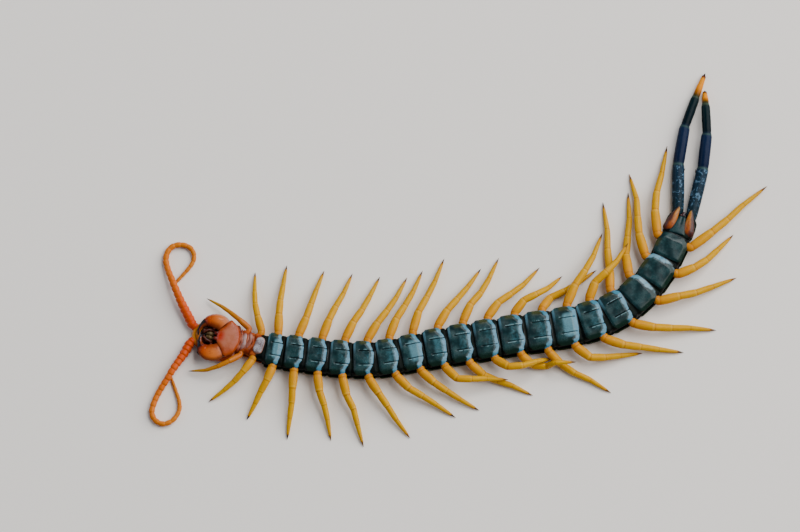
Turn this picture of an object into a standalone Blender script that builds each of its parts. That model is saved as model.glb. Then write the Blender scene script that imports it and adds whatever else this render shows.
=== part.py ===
"""A giant centipede, life size, lying on its back with its belly up and its body in a slow curve.

Sizes are in millimetres until a point becomes a vertex. The head points to -X, the tail curves up
to +X and +Y, and the back rests on the floor at z = 0.
"""
import math

import bmesh
import bpy
from mathutils import Vector

MM = 0.001
GAP = 0.3

# The front edge of the first segment, and the direction of the head from there
NECK = Vector((-70.35, -26.93, 0.0))
HEAD_HEADING = -13.0
HEAD_ASIDE = -0.7
RIGHT_SWELL = 0.13

# Body segments from the neck: length, heading in degrees, half width of the belly plate, height,
# place of the leg behind the middle as a share of the length
SEGMENTS = [
    (4.0, -20, 3.9, 5.2, -0.12),
    (4.7, -18, 4.3, 5.4, -0.15),
    (6.0, -10, 5.3, 5.6, 0.00),
    (7.0, -8, 5.5, 5.9, 0.05),
    (7.4, -8, 5.6, 6.0, 0.10),
    (7.5, -5, 5.7, 6.0, 0.13),
    (7.7, 0, 5.7, 6.0, 0.15),
    (7.8, 9, 5.8, 6.1, 0.17),
    (7.8, 12, 5.9, 6.1, 0.18),
    (7.9, 10, 6.2, 6.2, 0.20),
    (8.2, 9, 6.3, 6.2, 0.20),
    (8.3, 10, 6.4, 6.3, 0.18),
    (8.5, 9, 6.4, 6.3, 0.20),
    (8.9, 8, 6.4, 6.3, 0.20),
    (8.6, 10, 6.4, 6.3, 0.18),
    (8.5, 18, 6.3, 6.3, 0.18),
    (8.7, 30, 6.0, 6.2, 0.22),
    (9.1, 44, 5.7, 6.1, 0.27),
    (9.7, 56, 5.3, 6.0, 0.27),
    (8.6, 65, 5.0, 5.8, 0.28),
]
TAIL_LENGTH = 7.6
TAIL_HEADING = 71.0

# Shape of the body at places along a segment: belly plate width, its height, side wall,
# back plate width, lift of the back plate off the floor
WALL = 0.97
FRONT_EDGE = (0.98, -0.10, 0.90, 1.00, 0.0)
BEFORE_LEG = (1.00, 0.00, WALL, 1.02, 0.0)
BEHIND_LEG = (0.84, 0.00, WALL, 1.03, 0.0)
REAR_EDGE = (0.66, -0.15, 0.90, 1.03, 0.0)
GROOVE = (0.74, -0.75, 0.86, 0.97, 0.3)

# The trunk is divided into lengths of whole segments
LENGTHS = [(1, 3), (4, 6), (7, 9), (10, 12), (13, 15), (16, 18), (19, 20)]

# Walking legs: swing of the four parts of the leg from straight out towards the tail, and length
LEFT_LEGS = [
    ((-66, -64, -66, -74), 18.0),
    ((-33, -28, -20, -16), 21.0),
    ((-8, -5, 0, 0), 23.5),
    ((15, 10, 11, 13), 23.8),
    ((12, 17, 21, 15), 24.3),
    ((20, 28, 23, 21), 24.6),
    ((30, 36, 33, 27), 25.3),
    ((30, 40, 38, 32), 25.6),
    ((28, 40, 38, 33), 27.6),
    ((40, 49, 49, 44), 24.8),
    ((32, 48, 38, 33), 25.4),
    ((45, 63, 61, 51), 24.7),
    ((47, 72, 67, 55), 21.0),
    ((27, 75, 65, 62), 23.0),
    ((33, 44, 38, 30), 27.6),
    ((38, 67, 60, 49), 23.0),
    ((29, 25, 30, 22), 30.5),
    ((36, 50, 50, 42), 28.8),
    ((41, 52, 54, 41), 29.0),
    ((60, 70, 80, 76), 31.0),
]
RIGHT_LEGS = [
    ((-33, -42, -52, -70), 18.5),
    ((-20, -26, -33, -37), 19.5),
    ((-13, -20, -16, -18), 18.6),
    ((3, 5, 0, 1), 22.0),
    ((15, 27, 21, 17), 21.7),
    ((18, 32, 19, 20), 23.4),
    ((33, 35, 33, 37), 23.5),
    ((36, 53, 50, 48), 23.5),
    ((36, 46, 47, 49), 22.6),
    ((34, 78, 84, 79), 22.0),
    ((44, 59, 62, 56), 22.9),
    ((46, 84, 101, 100), 21.6),
    ((44, 78, 85, 83), 21.0),
    ((40, 48, 58, 50), 24.6),
    ((43, 83, 89, 89), 23.0),
    ((54, 67, 66, 67), 26.0),
    ((50, 60, 62, 57), 27.0),
    ((61, 60, 68, 69), 26.8),
    ((57, 69, 79, 80), 23.5),
    ((62, 66, 70, 65), 33.0),
]

# Heights of the leg's joints and claw, and of the legs that cross over or under a neighbour
REST_HEIGHTS = (3.7, 2.6, 1.6, 0.3)
LEFT_HEIGHTS = {
    1: (4.6, 3.8, 2.6, 1.2),
    13: (4.5, 4.3, 2.8, 0.8),
    14: (1.4, 1.4, 1.2, 0.3),
    15: (4.6, 4.3, 2.8, 0.9),
    16: (4.9, 5.5, 4.5, 3.9),
    17: (2.0, 1.8, 1.4, 0.3),
    18: (2.2, 1.9, 1.4, 0.3),
}
RIGHT_HEIGHTS = {
    1: (4.9, 4.4, 3.2, 1.2),
    10: (4.9, 4.8, 3.9, 2.9),
    11: (2.1, 1.3, 1.2, 0.3),
    12: (6.0, 6.0, 4.9, 0.8),
    13: (1.7, 1.5, 5.3, 5.2),
    14: (1.4, 1.3, 1.1, 0.3),
}

# Radii along a walking leg: place along it, radius, in a leg 24 mm long
LEG_SHAPE = [
    (0.000, 1.24),
    (0.095, 1.48),
    (0.245, 1.34),
    (0.262, 1.18),
    (0.455, 1.19),
    (0.472, 1.04),
    (0.675, 0.97),
    (0.690, 0.80),
    (0.820, 0.66),
    (0.925, 0.46),
    (1.000, 0.10),
]
PART_ENDS = (0.25, 0.46, 0.68, 1.0)

# Antennae in the head's own directions: forward, towards the left side, height, radius
LEFT_ANTENNA = [
    (16.2, 2.9, 1.95, 1.40),
    (17.4, 4.4, 2.0, 1.40),
    (19.7, 7.2, 2.2, 1.28),
    (21.9, 10.0, 2.5, 1.16),
    (24.0, 13.0, 2.7, 1.06),
    (26.0, 16.0, 2.2, 0.98),
    (28.0, 19.2, 1.4, 0.90),
    (29.5, 22.4, 1.0, 0.82),
    (29.4, 25.4, 0.9, 0.75),
    (27.8, 27.5, 0.9, 0.70),
    (25.3, 28.4, 0.85, 0.68),
    (22.8, 27.9, 0.8, 0.64),
    (21.1, 26.2, 0.8, 0.61),
    (20.6, 24.0, 0.75, 0.57),
    (21.3, 21.5, 0.7, 0.54),
    (22.7, 18.8, 0.65, 0.50),
    (24.1, 16.3, 0.6, 0.44),
    (25.2, 14.2, 0.5, 0.34),
]
RIGHT_ANTENNA = [
    (15.6, -3.6, 1.95, 1.35),
    (16.0, -5.0, 2.0, 1.32),
    (16.8, -7.6, 2.1, 1.18),
    (17.9, -10.5, 2.3, 1.07),
    (19.0, -13.3, 2.4, 0.99),
    (19.9, -16.0, 2.1, 0.92),
    (21.0, -19.0, 1.5, 0.86),
    (22.1, -22.2, 1.0, 0.81),
    (22.8, -25.4, 0.95, 0.77),
    (22.7, -28.2, 0.9, 0.73),
    (21.1, -30.4, 0.85, 0.70),
    (18.5, -31.2, 0.8, 0.67),
    (16.2, -30.0, 0.75, 0.63),
    (14.7, -27.9, 0.75, 0.60),
    (14.1, -25.2, 0.7, 0.57),
    (14.8, -22.5, 0.65, 0.53),
    (16.3, -19.8, 0.6, 0.48),
    (18.0, -17.0, 0.55, 0.42),
    (19.5, -14.6, 0.5, 0.34),
]

# The hindmost legs, past the tail: swing outwards from the body's line, length, height at the end
LEFT_ULTIMATE = [(17, 16.2, 2.2), (9, 12.4, 1.9), (-1, 10.9, 1.4), (-2, 8.6, 0.5)]
RIGHT_ULTIMATE = [(-5, 16.3, 2.5), (-12, 11.7, 3.2), (-21, 9.4, 3.6), (-21, 5.6, 0.6)]

SHELL = (0.012, 0.045, 0.055, 1.0)
SHELL_RED = (0.50, 0.10, 0.015, 1.0)
AMBER = (0.85, 0.40, 0.015, 1.0)
ORANGE = (0.70, 0.13, 0.02, 1.0)
BLACK = (0.01, 0.01, 0.014, 1.0)


def direction(heading):
    angle = math.radians(heading)
    return Vector((math.cos(angle), math.sin(angle), 0.0))


def left_of(heading):
    return direction(heading + 90.0)


def clear_scene():
    for old in list(bpy.data.objects):
        bpy.data.objects.remove(old, do_unlink=True)


def make_collections():
    body = bpy.data.collections.new("Giant centipede")
    tools = bpy.data.collections.new("Shaping tools")
    bpy.context.scene.collection.children.link(body)
    bpy.context.scene.collection.children.link(tools)
    return body, tools


def paint(part, colour, roughness):
    material = bpy.data.materials.new(part.name)
    material.use_nodes = True
    shader = material.node_tree.nodes["Principled BSDF"]
    shader.inputs["Base Color"].default_value = colour
    shader.inputs["Roughness"].default_value = roughness
    shader.inputs["Metallic"].default_value = 0.0
    part.data.materials.clear()
    part.data.materials.append(material)


def add_object(name, mesh, home):
    part = bpy.data.objects.new(name, mesh)
    home.objects.link(part)
    return part


def loft(name, rings, home):
    """A closed body through rings of equal count, each ring a flat loop of points."""
    mesh = bpy.data.meshes.new(name)
    shape = bmesh.new()
    loops = []
    for ring in rings:
        loops.append([shape.verts.new(point * MM) for point in ring])
    count = len(loops[0])
    for first, second in zip(loops, loops[1:]):
        for index in range(count):
            after = (index + 1) % count
            shape.faces.new((first[index], first[after], second[after], second[index]))
    shape.faces.new(loops[0])
    shape.faces.new(loops[-1])
    bmesh.ops.recalc_face_normals(shape, faces=shape.faces)
    shape.to_mesh(mesh)
    shape.free()
    return add_object(name, mesh, home)


def tube(name, points, home, rounding=2):
    """A round body along points, each a place and a radius."""
    curve = bpy.data.curves.new(name, "CURVE")
    curve.dimensions = "3D"
    curve.twist_mode = "MINIMUM"
    curve.bevel_depth = 1.0
    curve.bevel_resolution = rounding
    curve.use_fill_caps = True
    line = curve.splines.new("POLY")
    line.points.add(len(points) - 1)
    for knot, (place, radius) in zip(line.points, points):
        knot.co = (place.x * MM, place.y * MM, place.z * MM, 1.0)
        knot.radius = radius * MM
    path = bpy.data.objects.new(name + "_path", curve)
    home.objects.link(path)
    bpy.context.view_layer.update()
    mesh = bpy.data.meshes.new_from_object(path.evaluated_get(bpy.context.evaluated_depsgraph_get()))
    shape = bmesh.new()
    shape.from_mesh(mesh)
    bmesh.ops.remove_doubles(shape, verts=shape.verts, dist=0.000001)
    bmesh.ops.recalc_face_normals(shape, faces=shape.faces)
    shape.to_mesh(mesh)
    shape.free()
    part = add_object(name, mesh, home)
    part.matrix_world = path.matrix_world.copy()
    bpy.data.objects.remove(path, do_unlink=True)
    mesh.name = name
    return part


def fuse(part, pieces, tools):
    """Joins extra pieces to a part as one closed body."""
    for piece in pieces:
        union = part.modifiers.new("join_" + piece.name, "BOOLEAN")
        union.operation = "UNION"
        union.solver = "EXACT"
        union.object = piece
    bpy.context.view_layer.update()
    graph = bpy.context.evaluated_depsgraph_get()
    joined = bpy.data.meshes.new_from_object(part.evaluated_get(graph))
    part.modifiers.clear()
    part.data = joined
    for piece in pieces:
        bpy.data.objects.remove(piece, do_unlink=True)


def segment_places():
    """The middle and heading of each segment."""
    places = []
    front = NECK.copy()
    for length, heading, *_ in SEGMENTS:
        places.append((front + direction(heading) * (length / 2), heading))
        front = front + direction(heading) * length
    return places, front


def heading_at(number, place):
    """The heading a little before or after the middle of a segment, turning evenly."""
    here = SEGMENTS[number][1]
    if place < 0:
        other = SEGMENTS[number - 1][1] if number > 0 else HEAD_HEADING
    else:
        other = SEGMENTS[number + 1][1] if number + 1 < len(SEGMENTS) else TAIL_HEADING
    return here + (other - here) * abs(place)


def trunk_ring(centre, heading, half, height, plate, top, wall, back, lift):
    """One loop round the body, from the middle of the belly down the left side and back up."""
    side = left_of(heading)
    crown = height + top
    profile = [
        (half * plate, crown - 0.30),
        (half * wall, crown - 0.95),
        (half * wall, height * 0.50),
        (half * 0.86, height * 0.36),
        (half * back + 0.25, height * 0.26),
        (half * back + 0.15, height * 0.14 + lift * 0.5),
        (half * 0.66, 0.14 + lift),
        (half * 0.42, lift),
    ]
    ring = [centre + Vector((0.0, 0.0, crown))]
    for across, up in profile:
        ring.append(centre + side * across + Vector((0.0, 0.0, up)))
    for across, up in reversed(profile):
        ring.append(centre - side * across + Vector((0.0, 0.0, up)))
    return ring


def between(number, share):
    """Half width and height where two segments meet."""
    here = SEGMENTS[number]
    other = SEGMENTS[min(max(number + share, 0), len(SEGMENTS) - 1)]
    return (here[2] + other[2]) / 2, (here[3] + other[3]) / 2


def build_trunk(home):
    places, _ = segment_places()
    for first, last in LENGTHS:
        rings = []
        for number in range(first - 1, last):
            middle, heading = places[number]
            length, _, half, height, leg_place = SEGMENTS[number]
            stations = []
            start = -0.5 + (GAP / 2 / length if number == first - 1 else 0.0)
            stations.append((start, between(number, -1), GROOVE))
            behind = leg_place + 1.15 / length
            stations.append((-0.42, (half, height), FRONT_EDGE))
            stations.append((leg_place - 1.15 / length, (half, height), BEFORE_LEG))
            stations.append((behind, (half, height), BEHIND_LEG if behind > 0.25 else BEFORE_LEG))
            stations.append((0.44, (half, height), REAR_EDGE))
            if number == last - 1:
                stations.append((0.5 - GAP / 2 / length, between(number, 1), GROOVE))
            for place, (wide, tall), shape in stations:
                centre = middle + direction(heading) * (place * length)
                rings.append(trunk_ring(centre, heading_at(number, place), wide, tall, *shape))
        part = loft("trunk_%02d_to_%02d" % (first, last), rings, home)
        paint(part, SHELL_RED if first == 1 else SHELL, 0.25)


def leg_path(number, side):
    """Root and joints of one walking leg, and the places along it."""
    places, _ = segment_places()
    middle, heading = places[number - 1]
    length, _, half, height, place = SEGMENTS[number - 1]
    swings, reach = (LEFT_LEGS if side > 0 else RIGHT_LEGS)[number - 1]
    heights = (LEFT_HEIGHTS if side > 0 else RIGHT_HEIGHTS).get(number, REST_HEIGHTS)
    facing = heading_at(number - 1, place)
    outward = left_of(facing) * side
    root = middle + direction(heading) * (place * length) + outward * (half * WALL + GAP)
    root.z = height * 0.66
    base = root + outward * 0.60
    joints = [base]
    ends = (0.0,) + PART_ENDS
    at = base
    level = root.z
    for swing, low, high, end_level in zip(swings, ends, ends[1:], heights):
        run = (high - low) * reach
        drop = end_level - level
        flat = math.sqrt(max(run * run - drop * drop, 0.01))
        turn = heading + side * (90.0 - swing)
        at = at + direction(turn) * flat
        at.z = end_level
        level = end_level
        joints.append(at.copy())
    return root, joints


def along(joints, share):
    """The point a share of the way along the four parts of a leg."""
    ends = (0.0,) + PART_ENDS
    for index in range(4):
        if share <= ends[index + 1] or index == 3:
            part = (share - ends[index]) / (ends[index + 1] - ends[index])
            return joints[index].lerp(joints[index + 1], part)


def build_leg(number, side, home):
    root, joints = leg_path(number, side)
    girth = 0.72 if number == 1 else (0.86 if number == 2 else 0.97)
    girth = girth * (1.06 if number >= 15 else 1.0)
    points = [(root, 1.18 * girth)]
    for share, radius in LEG_SHAPE:
        points.append((along(joints, share), radius * girth))
    for place, radius in points:
        place.z = max(place.z, radius + 0.15)
    name = "leg_%s_%02d" % ("left" if side > 0 else "right", number)
    part = tube(name, points, home)
    paint(part, ORANGE if number == 1 else AMBER, 0.3)


def head_point(forward, across, up):
    ahead = -direction(HEAD_HEADING)
    side = left_of(HEAD_HEADING) * (across + HEAD_ASIDE)
    return NECK + ahead * forward + side + Vector((0.0, 0.0, up))


def right_swell(forward):
    """How much wider the head's right side is, as the head lies tipped a little to that side."""
    return 1.0 + RIGHT_SWELL * min(max((14.0 - forward) / 3.0, 0.0), 1.0)


def head_outline(shape, scale, centre, up, tipped=False):
    """A flat loop from half an outline given as forward and across, shrunk about a centre."""
    loop = []
    for forward, across in shape:
        loop.append((centre + (forward - centre) * scale, across * scale))
    for forward, across in reversed(shape):
        if across > 0.0:
            swell = right_swell(forward) if tipped else 1.0
            loop.append((centre + (forward - centre) * scale, -across * scale * swell))
    return [head_point(forward, across, up) for forward, across in loop]


def build_head(home, tools):
    shape = [
        (0.5, 0.0), (0.5, 4.4), (2.4, 5.8), (5.5, 6.5), (8.6, 6.4), (10.7, 5.7),
        (12.7, 4.3), (14.1, 3.3), (15.0, 0.7), (14.7, 0.0),
    ]
    layers = [(0.50, 0.0), (0.78, 0.3), (0.94, 0.9), (0.985, 1.5), (1.0, 2.0), (0.97, 2.8), (0.90, 3.05)]
    rings = [head_outline(shape, scale, 7.5, up, True) for scale, up in layers]
    part = loft("head", rings, home)
    mouth = [
        [(8.9, 0.0), (8.9, 1.1), (9.7, 1.6), (10.8, 1.4), (11.6, 0.7), (11.8, 0.0)],
        [(9.2, 0.0), (9.2, 0.7), (9.8, 1.1), (10.6, 0.9), (11.1, 0.4), (11.2, 0.0)],
    ]
    lower = head_outline(mouth[0], 1.0, 10.4, 2.6)
    middle = head_outline(mouth[0], 1.0, 10.4, 3.9)
    upper = head_outline(mouth[1], 1.0, 10.4, 4.6)
    mound = loft("maxillae", [lower, middle, upper], tools)
    fuse(part, [mound], tools)
    paint(part, ORANGE, 0.3)


def build_coxosternite(home, tools):
    shape = [
        (0.45, 0.0), (0.55, 2.6), (1.4, 4.4), (2.9, 5.6), (4.2, 6.0),
        (5.9, 3.7), (7.4, 1.5), (7.7, 0.4), (7.4, 0.0),
    ]
    layers = [(0.86, 3.4), (0.97, 4.0), (1.0, 5.0), (0.94, 5.8), (0.72, 6.2)]
    rings = [head_outline(shape, scale, 3.8, up) for scale, up in layers]
    part = loft("forcipular_coxosternite", rings, home)
    teeth = []
    for side in (1, -1):
        low = [(7.0, 0.35), (7.0, 1.35), (8.2, 1.3), (8.4, 0.85), (8.25, 0.4)]
        rings = []
        for up in (4.9, 5.6):
            rings.append([head_point(forward, side * across, up) for forward, across in low])
        teeth.append(loft("tooth_plate", rings, tools))
    fuse(part, teeth, tools)
    paint(part, ORANGE, 0.3)


# Places along a poison claw: forward, across, height, heading, half width, half thickness
LEFT_CLAW = [
    (6.05, 3.95, 4.8, 35, 2.42, 1.25),
    (7.2, 4.65, 4.8, 24, 2.45, 1.4),
    (8.9, 4.85, 4.8, 3, 2.35, 1.45),
    (10.6, 4.55, 4.75, -18, 2.0, 1.4),
    (11.8, 3.95, 4.7, -35, 1.5, 1.2),
    (12.5, 3.45, 4.6, -43, 1.18, 0.98),
    (13.25, 2.6, 4.5, -56, 0.88, 0.74),
    (13.85, 1.4, 4.4, -78, 0.64, 0.54),
    (13.95, 0.3, 4.35, -95, 0.44, 0.38),
    (13.7, -0.75, 4.3, -112, 0.12, 0.12),
]
RIGHT_CLAW = [
    (5.75, 4.40, 4.8, 35, 2.5, 1.25),
    (7.0, 5.3, 4.8, 24, 2.65, 1.4),
    (8.8, 5.7, 4.8, 3, 2.6, 1.45),
    (10.6, 5.35, 4.75, -20, 2.25, 1.4),
    (11.9, 4.55, 4.7, -37, 1.7, 1.2),
    (12.55, 3.75, 4.6, -48, 1.22, 0.98),
    (12.95, 2.9, 4.5, -66, 0.88, 0.72),
    (13.1, 1.95, 4.5, -86, 0.62, 0.52),
    (12.95, 1.05, 4.45, -99, 0.42, 0.36),
    (12.6, 0.2, 4.4, -112, 0.12, 0.12),
]


def build_forcipule(side, home):
    stations = LEFT_CLAW if side > 0 else RIGHT_CLAW
    rings = []
    for forward, across, up, heading, wide, thick in stations:
        turn = math.radians(heading)
        normal = Vector((-math.sin(turn), math.cos(turn)))
        ring = []
        for index in range(10):
            angle = 2 * math.pi * index / 10
            reach = wide * math.cos(angle)
            lift = thick * math.sin(angle)
            ring.append(head_point(forward + normal.x * reach, side * (across + normal.y * reach), up + lift))
        rings.append(ring)
    name = "forcipule_left" if side > 0 else "forcipule_right"
    part = loft(name, rings, home)
    paint(part, ORANGE, 0.25)


def build_eye(side, home, tools):
    """Four small simple eyes on one pad, at the front corner of the head."""
    facing = Vector((1.4, 2.0)).normalized()
    edge = Vector((facing.y, -facing.x))
    middle = Vector((11.7, 5.0)) if side > 0 else Vector((11.76, 5.0 * right_swell(11.7) + 0.12))
    rings = []
    for depth, size in ((0.3, 1.0), (0.62, 0.86)):
        ring = []
        for index in range(12):
            angle = 2 * math.pi * index / 12
            spot = middle + facing * depth + edge * (1.05 * size * math.cos(angle))
            ring.append(head_point(spot.x, side * spot.y, 1.75 + 0.65 * size * math.sin(angle)))
        rings.append(ring)
    name = "eye_left" if side > 0 else "eye_right"
    part = loft(name, rings, home)
    domes = []
    for run, up in ((-0.48, 2.0), (-0.02, 2.08), (0.5, 1.85), (0.1, 1.42)):
        spot = middle + facing * 0.6 + edge * run
        bpy.ops.mesh.primitive_uv_sphere_add(segments=8, ring_count=5, radius=0.27 * MM)
        dome = bpy.context.active_object
        dome.location = head_point(spot.x, side * spot.y, up) * MM
        dome.rotation_euler = (0.1, 0.2, 0.3)
        for old in list(dome.users_collection):
            old.objects.unlink(dome)
        tools.objects.link(dome)
        dome.name = "ocellus"
        domes.append(dome)
    fuse(part, domes, tools)
    paint(part, BLACK, 0.1)


def smooth_path(points, steps):
    """Points spaced evenly between hand-placed ones on a flowing line."""
    path = []
    for index in range(len(points) - 1):
        before = points[max(index - 1, 0)]
        start = points[index]
        end = points[index + 1]
        after = points[min(index + 2, len(points) - 1)]
        for step in range(steps):
            t = step / steps
            value = []
            for a, b, c, d in zip(before, start, end, after):
                value.append(
                    0.5 * (2 * b + (c - a) * t + (2 * a - 5 * b + 4 * c - d) * t * t
                           + (3 * b - a - 3 * c + d) * t * t * t)
                )
            path.append(tuple(value))
    path.append(points[-1])
    return path


def build_antenna(side, home):
    table = LEFT_ANTENNA if side > 0 else RIGHT_ANTENNA
    facing = Vector((2.6, 0.9)).normalized()
    socket = Vector((14.55, 2.0))
    points = []
    for depth, radius in ((GAP, 0.95), (GAP + 0.7, 1.15)):
        spot = socket + facing * depth
        points.append((head_point(spot.x, side * spot.y, 1.9), radius))
    for forward, across, up, radius in smooth_path(table, 2):
        points.append((head_point(forward, across, up), radius))
    name = "antenna_left" if side > 0 else "antenna_right"
    part = tube(name, points, home)
    paint(part, ORANGE, 0.4)


def tail_point(back, across, up):
    _, front = segment_places()
    return front + direction(TAIL_HEADING) * back + left_of(TAIL_HEADING) * across + Vector((0, 0, up))


def build_tail(home, tools):
    # Places along the last segment: back, belly plate, wall, back plate, height, lift
    stations = [
        (0.15, 2.9, 4.1, 4.3, 4.9, 0.3),
        (0.8, 3.0, 4.6, 4.7, 5.5, 0.0),
        (3.6, 2.2, 4.8, 4.9, 5.5, 0.0),
        (5.9, 1.4, 4.7, 4.8, 5.2, 0.0),
        (7.0, 1.0, 4.4, 4.6, 4.6, 0.0),
        (7.6, 0.8, 4.1, 4.3, 4.2, 0.25),
    ]
    rings = []
    for back, plate, wall, under, height, lift in stations:
        centre = tail_point(back, 0.0, 0.0)
        side = left_of(TAIL_HEADING if back > 0.5 else (TAIL_HEADING + SEGMENTS[-1][1]) / 2)
        profile = [
            (plate, height - 0.15),
            (wall * 0.86, height - 0.55),
            (wall, height - 1.4),
            (wall, height * 0.45),
            (wall * 0.9, height * 0.34),
            (under, height * 0.26),
            (under * 0.96, 0.75 + lift * 0.5),
            (under * 0.62, 0.14 + lift),
            (under * 0.42, lift),
        ]
        ring = [centre + Vector((0.0, 0.0, height))]
        for across, up in profile:
            ring.append(centre + side * across + Vector((0.0, 0.0, up)))
        for across, up in reversed(profile):
            ring.append(centre - side * across + Vector((0.0, 0.0, up)))
        rings.append(ring)
    part = loft("tail_segment", rings, home)
    spikes = []
    for hand in (1, -1):
        rings = []
        for back, across, up, wide, thick in (
            (3.4, 3.1, 4.5, 1.25, 0.9),
            (5.6, 2.9, 4.9, 1.25, 0.8),
            (7.4, 2.5, 5.15, 0.85, 0.5),
            (8.6, 2.2, 5.25, 0.5, 0.34),
            (9.2, 2.05, 5.25, 0.15, 0.12),
        ):
            ring = []
            for index in range(8):
                angle = 2 * math.pi * (index + 0.5) / 8
                ring.append(tail_point(back, hand * (across + wide * math.cos(angle)), up + thick * math.sin(angle)))
            rings.append(ring)
        spikes.append(loft("coxopleural_spike", rings, tools))
    fuse(part, spikes, tools)
    paint(part, SHELL, 0.25)


def build_ultimate(side, home, tools):
    parts = LEFT_ULTIMATE if side > 0 else RIGHT_ULTIMATE
    root = tail_point(TAIL_LENGTH + GAP, side * 2.35, 2.45)
    joints = [root]
    for swing, run, level in parts:
        turn = TAIL_HEADING + side * swing
        after = joints[-1] + direction(turn) * run
        after.z = level
        joints.append(after)
    thick = [
        (0, 0.0, 1.45), (0, 0.05, 1.6), (0, 0.55, 1.76), (0, 0.96, 1.68),
        (1, 0.02, 1.45), (1, 0.5, 1.58), (1, 0.96, 1.5),
        (2, 0.02, 1.2), (2, 0.5, 1.28), (2, 0.97, 1.15),
        (3, 0.02, 0.85), (3, 0.45, 0.68), (3, 0.5, 0.6), (3, 0.86, 0.42), (3, 0.88, 0.28), (3, 1.0, 0.08),
    ]
    points = []
    for index, share, radius in thick:
        place = joints[index].lerp(joints[index + 1], share)
        if index == 0 and share < 0.1 and share > 0.0:
            place = root + direction(TAIL_HEADING) * 0.7
        place.z = max(place.z, radius + 0.15)
        points.append((place, radius))
    name = "ultimate_leg_left" if side > 0 else "ultimate_leg_right"
    part = tube(name, points, home, 3)
    inward = left_of(TAIL_HEADING) * -side
    onward = (joints[1] - joints[0]).normalized()
    corner = joints[0].lerp(joints[1], 0.86) + Vector((0.0, 0.0, 0.4))
    process = tube("prefemoral_process", [
        (corner + inward * 0.9, 0.55),
        (corner + inward * 1.75 + onward * 0.45, 0.45),
        (corner + inward * 2.25 + onward * 1.3, 0.08),
    ], tools, 1)
    fuse(part, [process], tools)
    paint(part, SHELL, 0.2)


def build():
    clear_scene()
    home, tools = make_collections()
    build_trunk(home)
    for number in range(1, len(SEGMENTS) + 1):
        build_leg(number, 1, home)
        build_leg(number, -1, home)
    build_head(home, tools)
    build_coxosternite(home, tools)
    for side in (1, -1):
        build_forcipule(side, home)
        build_eye(side, home, tools)
        build_antenna(side, home)
        build_ultimate(side, home, tools)
    build_tail(home, tools)


build()
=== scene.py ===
import math
import bpy
import bmesh
import numpy as np
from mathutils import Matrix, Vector
from types import SimpleNamespace


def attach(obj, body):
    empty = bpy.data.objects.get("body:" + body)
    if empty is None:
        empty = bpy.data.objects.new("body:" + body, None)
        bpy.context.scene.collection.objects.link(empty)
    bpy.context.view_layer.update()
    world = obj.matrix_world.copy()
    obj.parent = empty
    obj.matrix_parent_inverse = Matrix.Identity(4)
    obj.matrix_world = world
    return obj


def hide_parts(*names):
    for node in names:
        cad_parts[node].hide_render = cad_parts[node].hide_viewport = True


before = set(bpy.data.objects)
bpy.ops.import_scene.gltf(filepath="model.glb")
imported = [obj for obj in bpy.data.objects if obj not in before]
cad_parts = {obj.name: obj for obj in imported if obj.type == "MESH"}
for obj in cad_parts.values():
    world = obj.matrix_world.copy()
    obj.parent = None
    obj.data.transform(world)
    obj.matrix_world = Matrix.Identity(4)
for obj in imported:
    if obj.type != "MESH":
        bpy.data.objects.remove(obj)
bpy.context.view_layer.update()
mm = 0.001
handNames = {1: "left", -1: "right"}
upwards = Vector((0.0, 0.0, 1.0))

# Where the neck is and which way the head looks, in millimetres and degrees
neck = {"x": -70.35, "y": -26.93, "headHeading": -13.0, "headAside": -0.7, "rightSwell": 0.13}

# Length, heading, half width of the belly plate, height, and the leg's place behind the middle
bodySegments = [
    (4.0, -20, 3.9, 5.2, -0.12), (4.7, -18, 4.3, 5.4, -0.15), (6.0, -10, 5.3, 5.6, 0.00),
    (7.0, -8, 5.5, 5.9, 0.05), (7.4, -8, 5.6, 6.0, 0.10), (7.5, -5, 5.7, 6.0, 0.13),
    (7.7, 0, 5.7, 6.0, 0.15), (7.8, 9, 5.8, 6.1, 0.17), (7.8, 12, 5.9, 6.1, 0.18),
    (7.9, 10, 6.2, 6.2, 0.20), (8.2, 9, 6.3, 6.2, 0.20), (8.3, 10, 6.4, 6.3, 0.18),
    (8.5, 9, 6.4, 6.3, 0.20), (8.9, 8, 6.4, 6.3, 0.20), (8.6, 10, 6.4, 6.3, 0.18),
    (8.5, 18, 6.3, 6.3, 0.18), (8.7, 30, 6.0, 6.2, 0.22), (9.1, 44, 5.7, 6.1, 0.27),
    (9.7, 56, 5.3, 6.0, 0.27), (8.6, 65, 5.0, 5.8, 0.28),
]
bodyLengths = [(1, 3), (4, 6), (7, 9), (10, 12), (13, 15), (16, 18), (19, 20)]
tail = {"heading": 71.0}

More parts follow.
